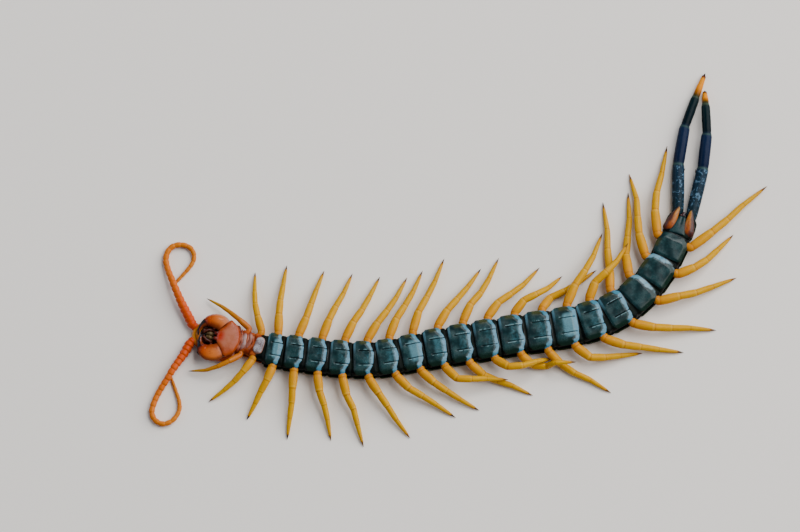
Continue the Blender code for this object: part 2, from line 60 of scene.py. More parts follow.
# Swing of the four parts of each leg towards the tail, and its length
legSwings = {
    "left": [
        ((-70, -68, -70, -78), 18.0), ((-33, -28, -20, -16), 21.0), ((-8, -5, 0, 0), 23.5),
        ((15, 10, 11, 13), 23.8), ((12, 17, 21, 15), 24.3), ((20, 28, 23, 21), 24.6),
        ((30, 36, 33, 27), 25.3), ((30, 40, 38, 32), 25.6), ((28, 40, 38, 33), 27.6),
        ((40, 49, 49, 44), 24.8), ((32, 48, 38, 33), 25.4), ((45, 63, 61, 51), 24.7),
        ((47, 72, 67, 55), 21.0), ((41, 73, 66, 61), 23.6), ((33, 44, 38, 30), 27.6),
        ((38, 67, 60, 49), 23.0), ((29, 25, 30, 22), 30.5), ((36, 50, 50, 42), 28.8),
        ((41, 52, 54, 41), 29.0), ((60, 70, 80, 76), 31.0),
    ],
    "right": [
        ((-37, -46, -57, -73), 18.5), ((-20, -26, -33, -37), 19.5), ((-13, -20, -16, -18), 18.6),
        ((3, 5, 0, 1), 22.0), ((15, 27, 21, 17), 21.7), ((18, 32, 19, 20), 23.4),
        ((33, 35, 33, 37), 23.5), ((36, 53, 50, 48), 23.5), ((36, 46, 47, 49), 22.6),
        ((34, 78, 84, 79), 22.0), ((44, 59, 62, 56), 22.9), ((46, 84, 101, 100), 21.6),
        ((44, 78, 85, 83), 21.0), ((40, 48, 58, 50), 24.6), ((43, 83, 89, 89), 23.0),
        ((54, 67, 66, 67), 26.0), ((50, 60, 62, 57), 27.0), ((61, 60, 68, 69), 26.8),
        ((57, 69, 79, 80), 23.5), ((62, 66, 70, 65), 33.0),
    ],
}
legHeights = {
    "rest": (3.7, 2.6, 1.6, 0.3),
    "left": {
        1: (4.6, 3.8, 2.6, 1.2), 13: (4.5, 4.3, 2.8, 0.8), 14: (1.4, 1.4, 1.2, 0.3),
        15: (4.6, 4.3, 2.8, 0.9), 16: (4.9, 5.5, 4.5, 3.9), 17: (2.0, 1.8, 1.4, 0.3),
        18: (2.2, 1.9, 1.4, 0.3),
    },
    "right": {
        1: (4.9, 4.4, 3.2, 1.2), 10: (4.9, 4.8, 3.9, 2.9), 11: (2.1, 1.3, 1.2, 0.3),
        12: (6.0, 6.0, 4.9, 0.8), 13: (1.7, 1.5, 5.3, 5.2), 14: (1.4, 1.3, 1.1, 0.3),
    },
}
legJoints = (0.0, 0.25, 0.46, 0.68, 1.0)


def direction(heading):
    angle = math.radians(heading)
    return Vector((math.cos(angle), math.sin(angle), 0.0))


def leftOf(heading):
    return direction(heading + 90.0)


def placeFrom(origin, heading, onward, aside, up):
    # a place told from an origin: along a heading, to its left and upwards
    return origin + direction(heading) * onward + leftOf(heading) * aside + upwards * up


def layOutSegments():
    laid, front = [], neckPlace
    for length, heading, half, height, legPlace in bodySegments:
        middle = front + direction(heading) * (length / 2)
        laid.append(SimpleNamespace(length=length, heading=heading, half=half, height=height,
                                    legPlace=legPlace, middle=middle))
        front = front + direction(heading) * length
    return laid, front


neckPlace = Vector((neck["x"], neck["y"], 0.0))
segments, bodyEnd = layOutSegments()


def headingAt(index, place):
    # the body's heading at a place between -0.5 and 0.5 of a segment
    beside = index + (-1 if place < 0 else 1)
    if beside < 0:
        other = neck["headHeading"]
    elif beside < len(segments):
        other = segments[beside].heading
    else:
        other = tail["heading"]
    here = segments[index].heading
    return here + (other - here) * abs(place)


def headPoint(forward, across, up):
    return placeFrom(neckPlace, neck["headHeading"], -forward, across + neck["headAside"], up)


def tailPoint(back, across, up):
    return placeFrom(bodyEnd, tail["heading"], back, across, up)


# Curves and meshes
def curvePoint(a, b, c, d, t):
    # a point of a smooth curve from b to c, whose neighbours are a and d
    return 0.5 * (2 * b + (c - a) * t + (2 * a - 5 * b + 4 * c - d) * t * t
                  + (3 * b - a - 3 * c + d) * t * t * t)


def smoothPath(points, steps):
    points = [np.array(point, float) for point in points]
    path, last = [], len(points) - 1
    for index in range(last):
        near = [points[min(max(index + k, 0), last)] for k in (-1, 0, 1, 2)]
        path += [curvePoint(*near, step / steps) for step in range(steps)]
    return path + [points[-1]]


def smoothLoop(points, count):
    # a smooth closed curve through the points, cut into even steps
    number, fine = len(points), 12
    dense = []
    for index in range(number):
        near = [np.array(points[(index + k) % number], float) for k in (-1, 0, 1, 2)]
        dense += [curvePoint(*near, step / fine) for step in range(fine)]
    dense = np.array(dense + [dense[0]])
    run = np.concatenate([[0.0], np.cumsum(np.linalg.norm(np.diff(dense, axis=0), axis=1))])
    wanted = np.linspace(0.0, run[-1], count, endpoint=False)
    return np.stack([np.interp(wanted, run, column) for column in dense.T], axis=1)


def closedSection(profile, count):
    # both sides of a section that is given for the left
    return smoothLoop(profile + [(-a, b) for a, b in reversed(profile[1:-1])], count)


def turns(count):
    return [2 * math.pi * step / count for step in range(count)]


def rampBetween(x, points):
    # the value at a place on straight lines through (place, value) points
    return float(np.interp(x, *zip(*points)))


def softStep(x, low, high):
    t = min(max((x - low) / (high - low), 0.0), 1.0)
    return t * t * (3 - 2 * t)


def turnOutwards(mesh, merge=0.0):
    # makes all faces look out, after joining points that fall together
    shape = bmesh.new()
    shape.from_mesh(mesh)
    if merge:
        bmesh.ops.remove_doubles(shape, verts=shape.verts, dist=merge)
    bmesh.ops.recalc_face_normals(shape, faces=shape.faces)
    shape.to_mesh(mesh)
    shape.free()


def meshFromRings(name, rings, values=None, sharpAngle=None):
    # rings: loops of equal count in millimetres; values: numbers that the finishes read, one for the
    # whole mesh, one for each ring or one for each point
    rings = np.array(rings, float)
    ringCount, count, _ = rings.shape
    faces = [(r + p, r + (p + 1) % count, r + count + (p + 1) % count, r + count + p)
             for r in range(0, (ringCount - 1) * count, count) for p in range(count)]
    faces += [tuple(range(count)), tuple(range((ringCount - 1) * count, ringCount * count))]
    mesh = bpy.data.meshes.new(name)
    mesh.from_pydata([tuple(p) for p in rings.reshape(-1, 3) * mm], [], faces)
    for key, numbers in (values or {}).items():
        numbers = np.array(numbers, np.float32)
        if numbers.ndim == 1:
            numbers = numbers[:, None]
        layer = mesh.attributes.new(key, "FLOAT", "POINT")
        layer.data.foreach_set("value", np.broadcast_to(numbers, (ringCount, count)).ravel())
    turnOutwards(mesh)
    mesh.polygons.foreach_set("use_smooth", [True] * len(mesh.polygons))
    if sharpAngle:
        mesh.set_sharp_from_angle(angle=math.radians(sharpAngle))
    return mesh


def namedMarks(names, marks):
    # one list of numbers for each name, from a tuple at each point of each ring
    return dict(zip(names, np.moveaxis(np.array(marks), -1, 0)))


def tubeThrough(name, knots, sides, values=None, flat=1.0, place=Vector):
    # a closed tube through (x, y, z, radius) knots, with each of its points set by a function
    rings, last = [], len(knots) - 1
    for index, knot in enumerate(knots):
        run = np.array(knots[min(index + 1, last)]) - np.array(knots[max(index - 1, 0)])
        onward = Vector(run[:3]).normalized()
        across = onward.cross(upwards)
        across = across.normalized() if across.length > 0.05 else Vector((1.0, 0.0, 0.0))
        other = across.cross(onward) * flat
        spot, radius = Vector(knot[:3]), knot[3]
        rings.append([place(spot + (across * math.cos(a) + other * math.sin(a)) * radius)
                      for a in turns(sides)])
    return meshFromRings(name, rings, values)


def cone(points, radii, sides=12):
    # a short spine through a few points
    knots = smoothPath([(*point, radius) for point, radius in zip(points, radii)], 4)
    return tubeThrough("spine", knots, sides, {"along": 2.0})


def dome(middle, radius, axis, count=20):
    # a round lens, closed
    axis = axis.normalized()
    knots = []
    for step in range(1, 14):
        turn = math.pi * step / 14
        knots.append((*(middle - axis * (math.cos(turn) * radius)), math.sin(turn) * radius))
    return tubeThrough("lens", knots, count)


def joinMeshes(name, meshes):
    # several closed bodies in one piece, keeping the numbers that the finishes read
    shape = bmesh.new()
    for mesh in meshes:
        shape.from_mesh(mesh)
    joined = bpy.data.meshes.new(name)
    shape.to_mesh(joined)
    shape.free()
    for mesh in meshes:
        bpy.data.meshes.remove(mesh)
    return joined


def addPiece(name, mesh, material, slot, *nodes):
    piece = bpy.data.objects.new(name, mesh)
    bpy.context.scene.collection.objects.link(piece)
    mesh.name = name
    mesh.materials.clear()
    mesh.materials.append(material)
    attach(piece, "root")
    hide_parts(*nodes)


# Node trees
class Wire:
    # a value on its way through a node tree, with plain arithmetic

    def __init__(self, tree, socket):
        self.tree = tree
        self.socket = socket

    def math(self, operation, *values, clamp=False):
        inputs = dict(enumerate(values))
        node = addNode(self.tree, "ShaderNodeMath", inputs, operation=operation, use_clamp=clamp)
        return Wire(self.tree, node.outputs[0])

    def __add__(self, other):
        return self.math("ADD", self, other)

    def __sub__(self, other):
        return self.math("SUBTRACT", self, other)

    def __rsub__(self, other):
        return self.math("SUBTRACT", other, self)

    def __mul__(self, other):
        return self.math("MULTIPLY", self, other)

    def __truediv__(self, other):
        return self.math("DIVIDE", self, other)

    def __abs__(self):
        return self.math("ABSOLUTE", self)

    def __or__(self, other):
        # two marks together, never over 1
        return self.math("ADD", self, other, clamp=True)

    def step(self, low, high, outLow=0.0, outHigh=1.0):
        # a soft step between two values
        inputs = {"Value": self, "From Min": low, "From Max": high, "To Min": outLow, "To Max": outHigh}
        node = addNode(self.tree, "ShaderNodeMapRange", inputs, interpolation_type="SMOOTHSTEP")
        return Wire(self.tree, node.outputs["Result"])


def addNode(tree, kind, inputs=None, **settings):
    # a node with its settings made and its inputs fed by wires, numbers or colours
    node = tree.nodes.new(kind)
    for key, value in settings.items():
        setattr(node, key, value)
    for key, value in (inputs or {}).items():
        if isinstance(value, Wire):
            tree.links.new(value.socket, node.inputs[key])
        else:
            node.inputs[key].default_value = (*value, 1.0) if isinstance(value, tuple) else value
    return node


def newGroup(name, kind, inputs, outputs):
    # an empty node group, the wires that it is given and the node that takes its results
    tree = bpy.data.node_groups.new(name, kind)
    for way, sockets in (("INPUT", inputs), ("OUTPUT", outputs)):
        for label, sort in sockets.items():
            tree.interface.new_socket(name=label, in_out=way, socket_type="NodeSocket" + sort)
    given = tree.nodes.new("NodeGroupInput")
    wires = {label: Wire(tree, given.outputs[label]) for label in inputs}
    return tree, wires, tree.nodes.new("NodeGroupOutput")


def makeMottle():
    # soft patches, fine pits and streaks in a shell, from the place on the object
    labels = ("Patches", "Pits", "Height", "Streaks")
    tree, given, made = newGroup(
        "shellMottle", "ShaderNodeTree", {"Vector": "Vector", "Patch Scale": "Float", "Pit Scale": "Float"},
        {label: "Float" for label in labels})

    def noise(scale, detail, distortion=0.0):
        inputs = {"Vector": given["Vector"], "Scale": scale, "Detail": detail, "Distortion": distortion}
        return Wire(tree, addNode(tree, "ShaderNodeTexNoise", inputs).outputs["Fac"])

    patches = noise(given["Patch Scale"], 3.0).step(0.32, 0.68)
    pits = noise(given["Pit Scale"], 2.0).step(0.35, 0.65)
    streaks = noise(given["Patch Scale"] * 1.5, 4.0, 1.4)
    for label, wire in zip(labels, (patches, pits, patches * 0.6 + pits * 0.4, streaks)):
        tree.links.new(wire.socket, made.inputs[label])
    return tree


def makeRingMark():
    # one soft ring at a place along a leg or antenna
    tree, given, made = newGroup("ringMark", "ShaderNodeTree",
                                 {"Along": "Float", "Place": "Float", "Width": "Float"}, {"Mark": "Float"})
    away = abs(given["Along"] - given["Place"]) / given["Width"]
    tree.links.new(away.step(0.0, 1.0, 1.0, 0.0).socket, made.inputs["Mark"])
    return tree


shellMottle = makeMottle()
ringMark = makeRingMark()


class Finish:
    # a material being built, with its mottle ready to use

    def __init__(self, name, patchScale, pitScale, **plain):
        self.material = bpy.data.materials.new(name)
        self.material.use_nodes = True
        self.tree = self.material.node_tree
        self.shader = self.tree.nodes["Principled BSDF"]
        for key, value in plain.items():
            self.shader.inputs[key.replace("_", " ")].default_value = value
        place = Wire(self.tree, self.tree.nodes.new("ShaderNodeTexCoord").outputs["Object"])
        inputs = {"Vector": place, "Patch Scale": patchScale, "Pit Scale": pitScale}
        mottle = addNode(self.tree, "ShaderNodeGroup", inputs, node_tree=shellMottle)
        self.patches, self.pits, self.height, self.streaks = (Wire(self.tree, o) for o in mottle.outputs)

    def values(self, *names):
        # the numbers that a mesh keeps for its finish
        nodes = [addNode(self.tree, "ShaderNodeAttribute", attribute_name=name) for name in names]
        return [Wire(self.tree, node.outputs["Fac"]) for node in nodes]

    def ring(self, along, place, width):
        inputs = {"Along": along, "Place": place, "Width": width}
        node = addNode(self.tree, "ShaderNodeGroup", inputs, node_tree=ringMark)
        return Wire(self.tree, node.outputs["Mark"])

    def rings(self, along, *places):
        marks, *rest = [self.ring(along, place, width) for place, width in places]
        for mark in rest:
            marks = marks | mark
        return marks

    def ramp(self, along, stops):
        node = addNode(self.tree, "ShaderNodeValToRGB", {"Fac": along})
        line = node.color_ramp
        while len(line.elements) < len(stops):
            line.elements.new(0.5)
        for element, (place, colour) in zip(line.elements, stops):
            element.position = place
            element.color = (*colour, 1.0)
        return Wire(self.tree, node.outputs["Color"])

    def mix(self, mask, first, second):
        inputs = {0: mask, 6: first, 7: second}
        return Wire(self.tree, addNode(self.tree, "ShaderNodeMix", inputs, data_type="RGBA").outputs[2])

    def done(self, colour, rough, relief, coat=None):
        # joins the colour, the roughness, the relief's strength and depth and the coat to the shader
        inputs = {"Strength": relief[0], "Distance": relief[1], "Height": self.height}
        bump = Wire(self.tree, addNode(self.tree, "ShaderNodeBump", inputs).outputs["Normal"])
        wires = {"Base Color": colour, "Roughness": self.height.step(0.2, 0.9, *rough), "Normal": bump}
        if coat:
            wires["Coat Weight"] = coat
        for name, wire in wires.items():
            self.tree.links.new(wire.socket, self.shader.inputs[name])
        return self.material


# Belly plates: one for each segment from the third on, faceted towards the tail
plateSizes = {
    "reach": 0.455, "thickness": 0.45, "frontDrop": 0.42, "frontBand": 0.65, "rearDrop": 0.62,
    "rearBand": 2.0, "sideDrop": 0.85, "sideBand": 1.25, "cornerDrop": 0.66, "cornerBand": 1.75,
    "dropPower": 1.12, "crown": 0.12, "rounding": 0.25, "ripple": 0.05, "grooveDepth": 0.20,
    "grooveWidth": 0.21, "grooveFrom": 0.2, "grooveTo": 0.93, "bowCentre": 0.55,
    "rings": 48, "across": 60, "under": 9,
}

# Small tilts of single plates, as the bent body sets them, and how strong the painted sky reflection on each
# plate is
plateTilts = {9: (0.012, 0.0), 15: (0.014, 0.0), 12: (0.004, 0.0), 7: (-0.006, 0.004), 17: (-0.008, 0.0)}
plateSheenTones = {3: 0.85, 4: 0.2, 5: 0.25, 6: 0.3, 7: 0.3, 8: 0.35, 9: 0.75, 10: 0.5, 11: 0.3, 12: 0.3,
              13: 0.35, 14: 0.35, 15: 0.85, 16: 0.3, 17: 0.10, 18: -0.2, 19: -0.2, 20: -0.3}


def bellyShape(number):
    # how the outline changes from the front of the body to the back
    early = 1.0 - softStep(number, 7.0, 14.0)
    late = softStep(number, 16.5, 18.5)
    return {
        "frontCut": 0.16 + 0.04 * early, "frontRun": 0.14,
        "rearCut": 0.30 + 0.28 * early - 0.02 * late, "rearRun": 0.26 + 0.06 * early - 0.08 * late,
        "bow": late, "groove": 0.0 if number in (18, 19, 20) else 0.39,
    }


def plateEdges(length, half, shape):
    # the straight edges of half an outline: a point, the inward normal, the band and the drop
    s = plateSizes
    edges = [((0.0, 0.0), (1.0, 0.0), s["frontBand"], s["frontDrop"]),
             ((length, 0.0), (-1.0, 0.0), s["rearBand"], s["rearDrop"]),
             ((0.0, half), (0.0, -1.0), s["sideBand"], s["sideDrop"])]
    frontCorner = (0.0, half * (1 - shape["frontCut"])), (length * shape["frontRun"], half)
    rearCorner = (length * (1 - shape["rearRun"]), half), (length, half * (1 - shape["rearCut"]))
    for (start, end), part in ((frontCorner, "front"), (rearCorner, "corner")):
        run = np.array(end) - np.array(start)
        run = run / np.linalg.norm(run)
        edges.append((start, (run[1], -run[0]), s[part + "Band"], s[part + "Drop"]))
    return edges


def halfWidthAt(back, length, half, edges):
    # the outline's half width at a distance behind the plate's front edge
    corners = [start[1] + (start[0] - back) * normal[0] / normal[1] for start, normal, *_ in edges[3:]]
    width = min(half, *corners)
    rounding = plateSizes["rounding"]
    inward = max(0.0, rounding - min(back, length - back))
    return width - inward ** 2 / rounding * 0.9


def plateDrop(back, y, edges):
    # how far the surface falls towards the edges, and how near it is to the rear ones
    drop, rearness = 0.0, 0.0
    for index, (start, normal, band, most) in enumerate(edges):
        inside = (back - start[0]) * normal[0] + (abs(y) - start[1]) * normal[1]
        nearness = max(0.0, 1.0 - inside / band)
        drop = (drop ** 5 + (most * nearness ** plateSizes["dropPower"]) ** 5) ** 0.2
        if index in (1, 4):
            rearness = max(rearness, min(nearness * 1.6, 1.0))
    return drop, rearness


def grooveAt(y, share, centre):
    # up to 1 in a groove, down to -1 on the ridge beside it and 0 elsewhere
    s = plateSizes
    away = abs(abs(y) - centre) / s["grooveWidth"]
    beside = abs(abs(y) - centre - 1.6 * s["grooveWidth"]) / s["grooveWidth"]
    if away < 1.0 and s["grooveFrom"] < share < s["grooveTo"]:
        return (1 - away) * min((share - s["grooveFrom"]) / 0.06, (s["grooveTo"] - share) / 0.04, 1.0)
    return beside - 1.0 if beside < 1.0 and 0.25 < share < 0.9 else 0.0


def buildBellyPlate(number):
    g, s = segments[number - 1], plateSizes
    shape = bellyShape(number)
    run = 2 * s["reach"] * g.length
    edges = plateEdges(run, g.half, shape)
    tilt, slant = plateTilts.get(number, (0.0, 0.0))
    shares = np.linspace(0.0, 1.0, s["rings"])
    shares = 0.5 * shares + 0.5 * (1 - np.cos(shares * math.pi)) / 2
    rings, marks = [], []
    for share in shares:
        back = share * run
        width = halfWidthAt(back, run, g.half, edges)
        bow = shape["bow"] * share ** 3
        over, under, row = [], [], []
        for y in np.linspace(-width, width, s["across"]):
            drop, rearness = plateDrop(back, y, edges)
            line = grooveAt(y, share, shape["groove"] * g.half) if shape["groove"] else 0.0
            rise = g.height + 0.02 - s["crown"] * (y / g.half) ** 2 - drop - s["grooveDepth"] * max(line, 0.0)
            rise += s["ripple"] * math.sin(y * 1.1 + number) * math.cos(back * 0.9 + number * 1.7)
            rise += tilt * (back - run / 2) + slant * y
            over.append((y, rise))
            row.append((rearness, y / g.half, line))
        middleRise = over[len(over) // 2][1] - 0.5
        for t in np.linspace(0.96, -0.96, s["under"]):
            sideRise = over[-1][1] if t > 0 else over[0][1]
            under.append((t * width, sideRise * abs(t) + middleRise * (1 - abs(t)) - s["thickness"]))
        ring = []
        for y, rise in over + under:
            onward = back - run / 2 + bow * (s["bowCentre"] - (y / g.half) ** 2)
            ring.append(placeFrom(g.middle, g.heading, onward, y, rise))
        rings.append(ring)
        marks.append(row + [(0.0, -1.0, 0.0)] * s["under"])
    values = namedMarks(("edge", "sideways", "suture"), marks)
    return meshFromRings("bellyPlate", rings, {**values, "place": shares, "tone": plateSheenTones[number]}, 50)


# Soft skin of the body, folded between the segments
wallSizes = {"stations": 26, "around": 64, "foldDepth": 0.10, "foldLength": 0.75, "girth": 0.955,
             "blendFrom": 0.36, "grooveFrom": 0.41, "grooveTo": 0.475, "grooveDepth": 0.50}


def buildWall(first, last):
    rings, stations, s = [], [], wallSizes
    for index in range(first - 1, last):
        g = segments[index]
        for step in range(s["stations"]):
            place = -0.5 + step / s["stations"]
            if index == last - 1 and step == s["stations"] - 1:
                place = 0.5
            other = segments[min(max(index + (-1 if place < 0 else 1), 0), len(segments) - 1)]
            near = softStep(abs(place), s["blendFrom"], 0.5) / 2
            half = g.half + (other.half - g.half) * near
            height = g.height + (other.height - g.height) * near
            groove = softStep(abs(place), s["grooveFrom"], s["grooveTo"])
            fold = math.cos(place * g.length * 2 * math.pi / s["foldLength"]) * groove * s["foldDepth"]
            fold += 0.12 if 0.44 < place < 0.5 else 0.0
            crown = height - 0.10 - s["grooveDepth"] * groove + fold
            wall = s["girth"] - 0.075 * groove + fold * 0.06
            lift = 0.3 * groove
            profile = [
                (0.0, crown - 0.30), (half * 0.5, crown - 0.36), (half * 0.80, crown - 0.55),
                (half * 0.93 * wall / 0.97, crown - 1.15), (half * wall, crown - 1.9),
                (half * wall, height * 0.50), (half * 0.90, height * 0.37), (half * 0.97, height * 0.26),
                (half * 0.93, height * 0.15 + lift), (half * 0.60, 0.42 + lift), (0.0, 0.34 + lift),
            ]
            centre = g.middle + direction(g.heading) * (place * g.length)
            heading = headingAt(index, place)
            loop = closedSection(profile, s["around"])
            rings.append([placeFrom(centre, heading, 0.0, a, b) for a, b in loop])
            stations.append(index + 1.5 + place)
    return meshFromRings("bodyWall", rings, {"station": stations})


# Plates of the back, which the animal lies on, their side rims curling up past the body wall
backSizes = {"rings": 30, "across": 60, "thickness": 0.32, "groove": 0.34, "grooveWidth": 0.022,
             "grooveDepth": 0.07, "rimHeight": 0.10, "rimFrom": 7, "bendFrom": 0.46}
shortBacks = (2, 4, 6, 9, 11, 13, 15, 17, 19)


def buildBackPlate(number):
    g, s = segments[number - 1], backSizes
    front, rear = -0.485 * g.length, (0.47 if number in shortBacks else 0.495) * g.length
    rings, marks = [], []
    for share in np.linspace(0.0, 1.0, s["rings"]):
        ends = min(share, 1 - share)
        wide = (g.half * 1.03 + 0.2) * (1 - 0.06 * (1 - min(ends / 0.12, 1.0)) ** 2)
        outer, inner, row = [], [], []
        for t in np.linspace(-1.0, 1.0, s["across"]):
            bend = max(0.0, (abs(t) - s["bendFrom"]) / (1 - s["bendFrom"]))
            line = max(0.0, 1 - abs(abs(t) - s["groove"]) / s["grooveWidth"])
            rim = softStep(abs(t), 0.93, 0.97)
            rise = g.height * 0.27 * bend ** 1.9 + 0.10 * (1 - min(ends / 0.06, 1.0)) ** 2
            rise += s["grooveDepth"] * line
            outward = s["rimHeight"] * rim if number > s["rimFrom"] else 0.0
            outer.append((t * wide * (1 + outward * 0.02), rise))
            inner.append((t * wide * 0.985, rise + s["thickness"] - 0.12 * bend))
            row.append((line, rim))
        back = front + share * (rear - front)
        rings.append([placeFrom(g.middle, g.heading, back, y, z) for y, z in outer + inner[::-1]])
        marks.append(row + [(0.0, rim) for line, rim in row[::-1]])
    values = namedMarks(("suture", "rim"), marks)
    return meshFromRings("backPlate", rings, {**values, "station": float(number)}, 40)


# The small lilac belly plate of segment 2: its outline, and the scale and height of its layers
secondOutline = [(-1.35, 1.5), (-1.05, 2.35), (0.0, 2.85), (1.05, 2.5), (1.5, 1.5), (1.55, -1.5),
                 (1.0, -2.5), (-0.1, -2.8), (-1.15, -2.35), (-1.5, -1.4)]
secondLayers = [(0.98, -0.85), (1.03, -0.55), (1.0, -0.26), (0.95, -0.1), (0.85, 0.02), (0.7, 0.08),
                (0.5, 0.06), (0.25, 0.10), (0.02, 0.10)]


def buildSecondPlate(finish):
    g = segments[1]
    loop = smoothLoop(secondOutline, 90)
    rings, marks = [], []
    for scale, up in secondLayers:
        rise = g.height + up
        rings.append([placeFrom(g.middle, g.heading, x * scale, y * scale, rise) for x, y in loop])
        marks.append([(scale, y * scale, x * scale) for x, y in loop])
    mesh = meshFromRings("secondPlate", rings, namedMarks(("edge", "aside", "forward"), marks))
    addPiece("belly_plate_02", mesh, finish, "body_shell", "trunk_01_to_03")


# Limbs
def makeTubeTree(name, profile, beads=False):
    # a tree that turns a path into a jointed tube or a beaded feeler
    sorts = {"Geometry": "Geometry", "Rings": "Int", "Sides": "Int", "Girth": "Float", "Finish": "Material"}
    if beads:
        sorts.update({"Articles": "Float", "Crowding": "Float"})
    tree, given, made = newGroup(name, "GeometryNodeTree", sorts, {"Geometry": "Geometry"})

    def step(kind, output, inputs=None, **settings):
        return Wire(tree, addNode(tree, "GeometryNode" + kind, inputs, **settings).outputs[output])

    def keep(path, label, value):
        inputs = {"Geometry": path, "Name": label, "Value": value}
        return step("StoreNamedAttribute", "Geometry", inputs, data_type="FLOAT", domain="POINT")

    line = step("MeshToCurve", "Curve", {"Mesh": given["Geometry"]})
    even = step("ResampleCurve", "Curve", {"Curve": line, "Count": given["Rings"]}, mode="COUNT")
    place = step("SplineParameter", "Factor")
    path = keep(even, "along", place)
    if beads:
        count = place.math("POWER", place, given["Crowding"]) * given["Articles"]
        place = count.math("FRACT", count)
        path = keep(path, "bead", place)
    sized = addNode(tree, "ShaderNodeFloatCurve", {"Value": place})
    curve = sized.mapping.curves[0]
    while len(curve.points) < len(profile):
        curve.points.new(0.5, 0.5)
    for point, spot in zip(curve.points, profile):
        point.location = spot
        point.handle_type = "AUTO" if beads else "VECTOR"
    sized.mapping.update()
    own = step("InputNamedAttribute", "Attribute", {"Name": "girth"}, data_type="FLOAT")
    radius = Wire(tree, sized.outputs["Value"]) * own * given["Girth"]
    ring = step("CurvePrimitiveCircle", "Curve", {"Radius": 1.0, "Resolution": given["Sides"]})
    inputs = {"Curve": path, "Profile Curve": ring, "Scale": radius, "Fill Caps": True}
    tube = step("CurveToMesh", "Mesh", inputs)
    smooth = step("SetShadeSmooth", "Geometry", {"Geometry": tube})
    real = step("RealizeInstances", "Geometry", {"Geometry": smooth})
    paint = step("SetMaterial", "Geometry", {"Geometry": real, "Material": given["Finish"]})
    tree.links.new(paint.socket, made.inputs["Geometry"])
    return tree


def meshAlongPath(name, tree, points, settings, girths=1.0):
    path = bpy.data.meshes.new(name + "Path")
    edges = [(index, index + 1) for index in range(len(points) - 1)]
    path.from_pydata([tuple(Vector(point) * mm) for point in points], edges, [])
    layer = path.attributes.new("girth", "FLOAT", "POINT")
    layer.data.foreach_set("value", np.array(np.broadcast_to(girths, len(points)), np.float32))
    holder = bpy.data.objects.new(name + "Path", path)
    bpy.context.scene.collection.objects.link(holder)
    made = holder.modifiers.new("shape", "NODES")
    made.node_group = tree
    for socket in tree.interface.items_tree:
        if socket.item_type == "SOCKET" and socket.in_out == "INPUT" and socket.name in settings:
            made[socket.identifier] = settings[socket.name]
    bpy.context.view_layer.update()
    mesh = bpy.data.meshes.new_from_object(holder.evaluated_get(bpy.context.evaluated_depsgraph_get()))
    bpy.data.objects.remove(holder, do_unlink=True)
    turnOutwards(mesh, 1e-7)
    return mesh


def roundCorners(points, reach, steps):
    # replaces each inner corner of a path by a short bend
    points = [np.array(p, float) for p in points]
    path = [points[0]]
    for a, b, c in zip(points, points[1:], points[2:]):
        first, last = (b + (end - b) / np.linalg.norm(end - b) * min(reach, np.linalg.norm(end - b) * 0.45)
                       for end in (a, c))
        for t in (step / steps for step in range(steps + 1)):
            path.append((1 - t) ** 2 * first + 2 * t * (1 - t) * b + t * t * last)
    return path + [points[-1]]


def densePath(knots, reach, steps, spacing=0.5):
    # many even points on a path with rounded corners, and how far along it each one is
    points = roundCorners(knots, reach, steps)
    path = []
    for a, b in zip(points, points[1:]):
        count = max(1, int(np.linalg.norm(b - a) / spacing))
        path += [a + (b - a) * step / count for step in range(count)]
    path.append(points[-1])
    runs = np.linalg.norm(np.diff(np.array(path), axis=0), axis=1)
    return path, np.concatenate([[0.0], np.cumsum(runs)]) / runs.sum()


def liftPath(path, along, profile, girth, gap=0.12):
    # holds a limb above the floor by its own radius and a small gap
    for point, share in zip(path, along):
        point[2] = max(point[2], rampBetween(share, profile) * girth + gap)


# Radius along a walking leg, as a share of its girth: hip, four jointed parts, foot and claw
legSizes = {"girth": 1.54, "rings": 170, "sides": 26, "reachIn": 0.95, "stub": 0.60, "aside": 0.3,
            "rootHeight": 0.66, "cornerReach": 0.8, "cornerSteps": 4, "lateGirth": 1.06, "lateFrom": 15}
legProfile = [
    (0.000, 0.80), (0.030, 0.90), (0.052, 0.92), (0.062, 0.88), (0.070, 0.88), (0.090, 0.94), (0.130, 0.98),
    (0.180, 0.99), (0.240, 0.93), (0.284, 0.87), (0.296, 0.83), (0.304, 0.79), (0.320, 0.785),
    (0.360, 0.79), (0.430, 0.785), (0.478, 0.75), (0.494, 0.715), (0.502, 0.68), (0.520, 0.675),
    (0.580, 0.665), (0.660, 0.625), (0.690, 0.59), (0.702, 0.55), (0.714, 0.54), (0.770, 0.50),
    (0.822, 0.45), (0.832, 0.425), (0.880, 0.365), (0.928, 0.29), (0.940, 0.22), (0.965, 0.14),
    (1.000, 0.03),
]


def legPath(number, side):
    g = segments[number - 1]
    swings, reach = legSwings[handNames[side]][number - 1]
    heights = legHeights[handNames[side]].get(number, legHeights["rest"])
    outward = leftOf(headingAt(number - 1, g.legPlace)) * side
    hip = g.middle + direction(g.heading) * (g.legPlace * g.length)
    root = hip + outward * (g.half * 0.97 + legSizes["aside"])
    root.z = g.height * legSizes["rootHeight"]
    path = [root - outward * legSizes["reachIn"], root, root + outward * legSizes["stub"]]
    level = root.z
    for swing, low, high, endLevel in zip(swings, legJoints, legJoints[1:], heights):
        run, drop = (high - low) * reach, endLevel - level
        flat = math.sqrt(max(run * run - drop * drop, 0.01))
        path.append(path[-1] + direction(g.heading + side * (90.0 - swing)) * flat)
        path[-1].z = level = endLevel
    return path


def legGirth(number):
    share = {1: 0.66, 2: 0.86}.get(number, 0.97)
    late = legSizes["lateGirth"] if number >= legSizes["lateFrom"] else 1.0
    return legSizes["girth"] * share * late


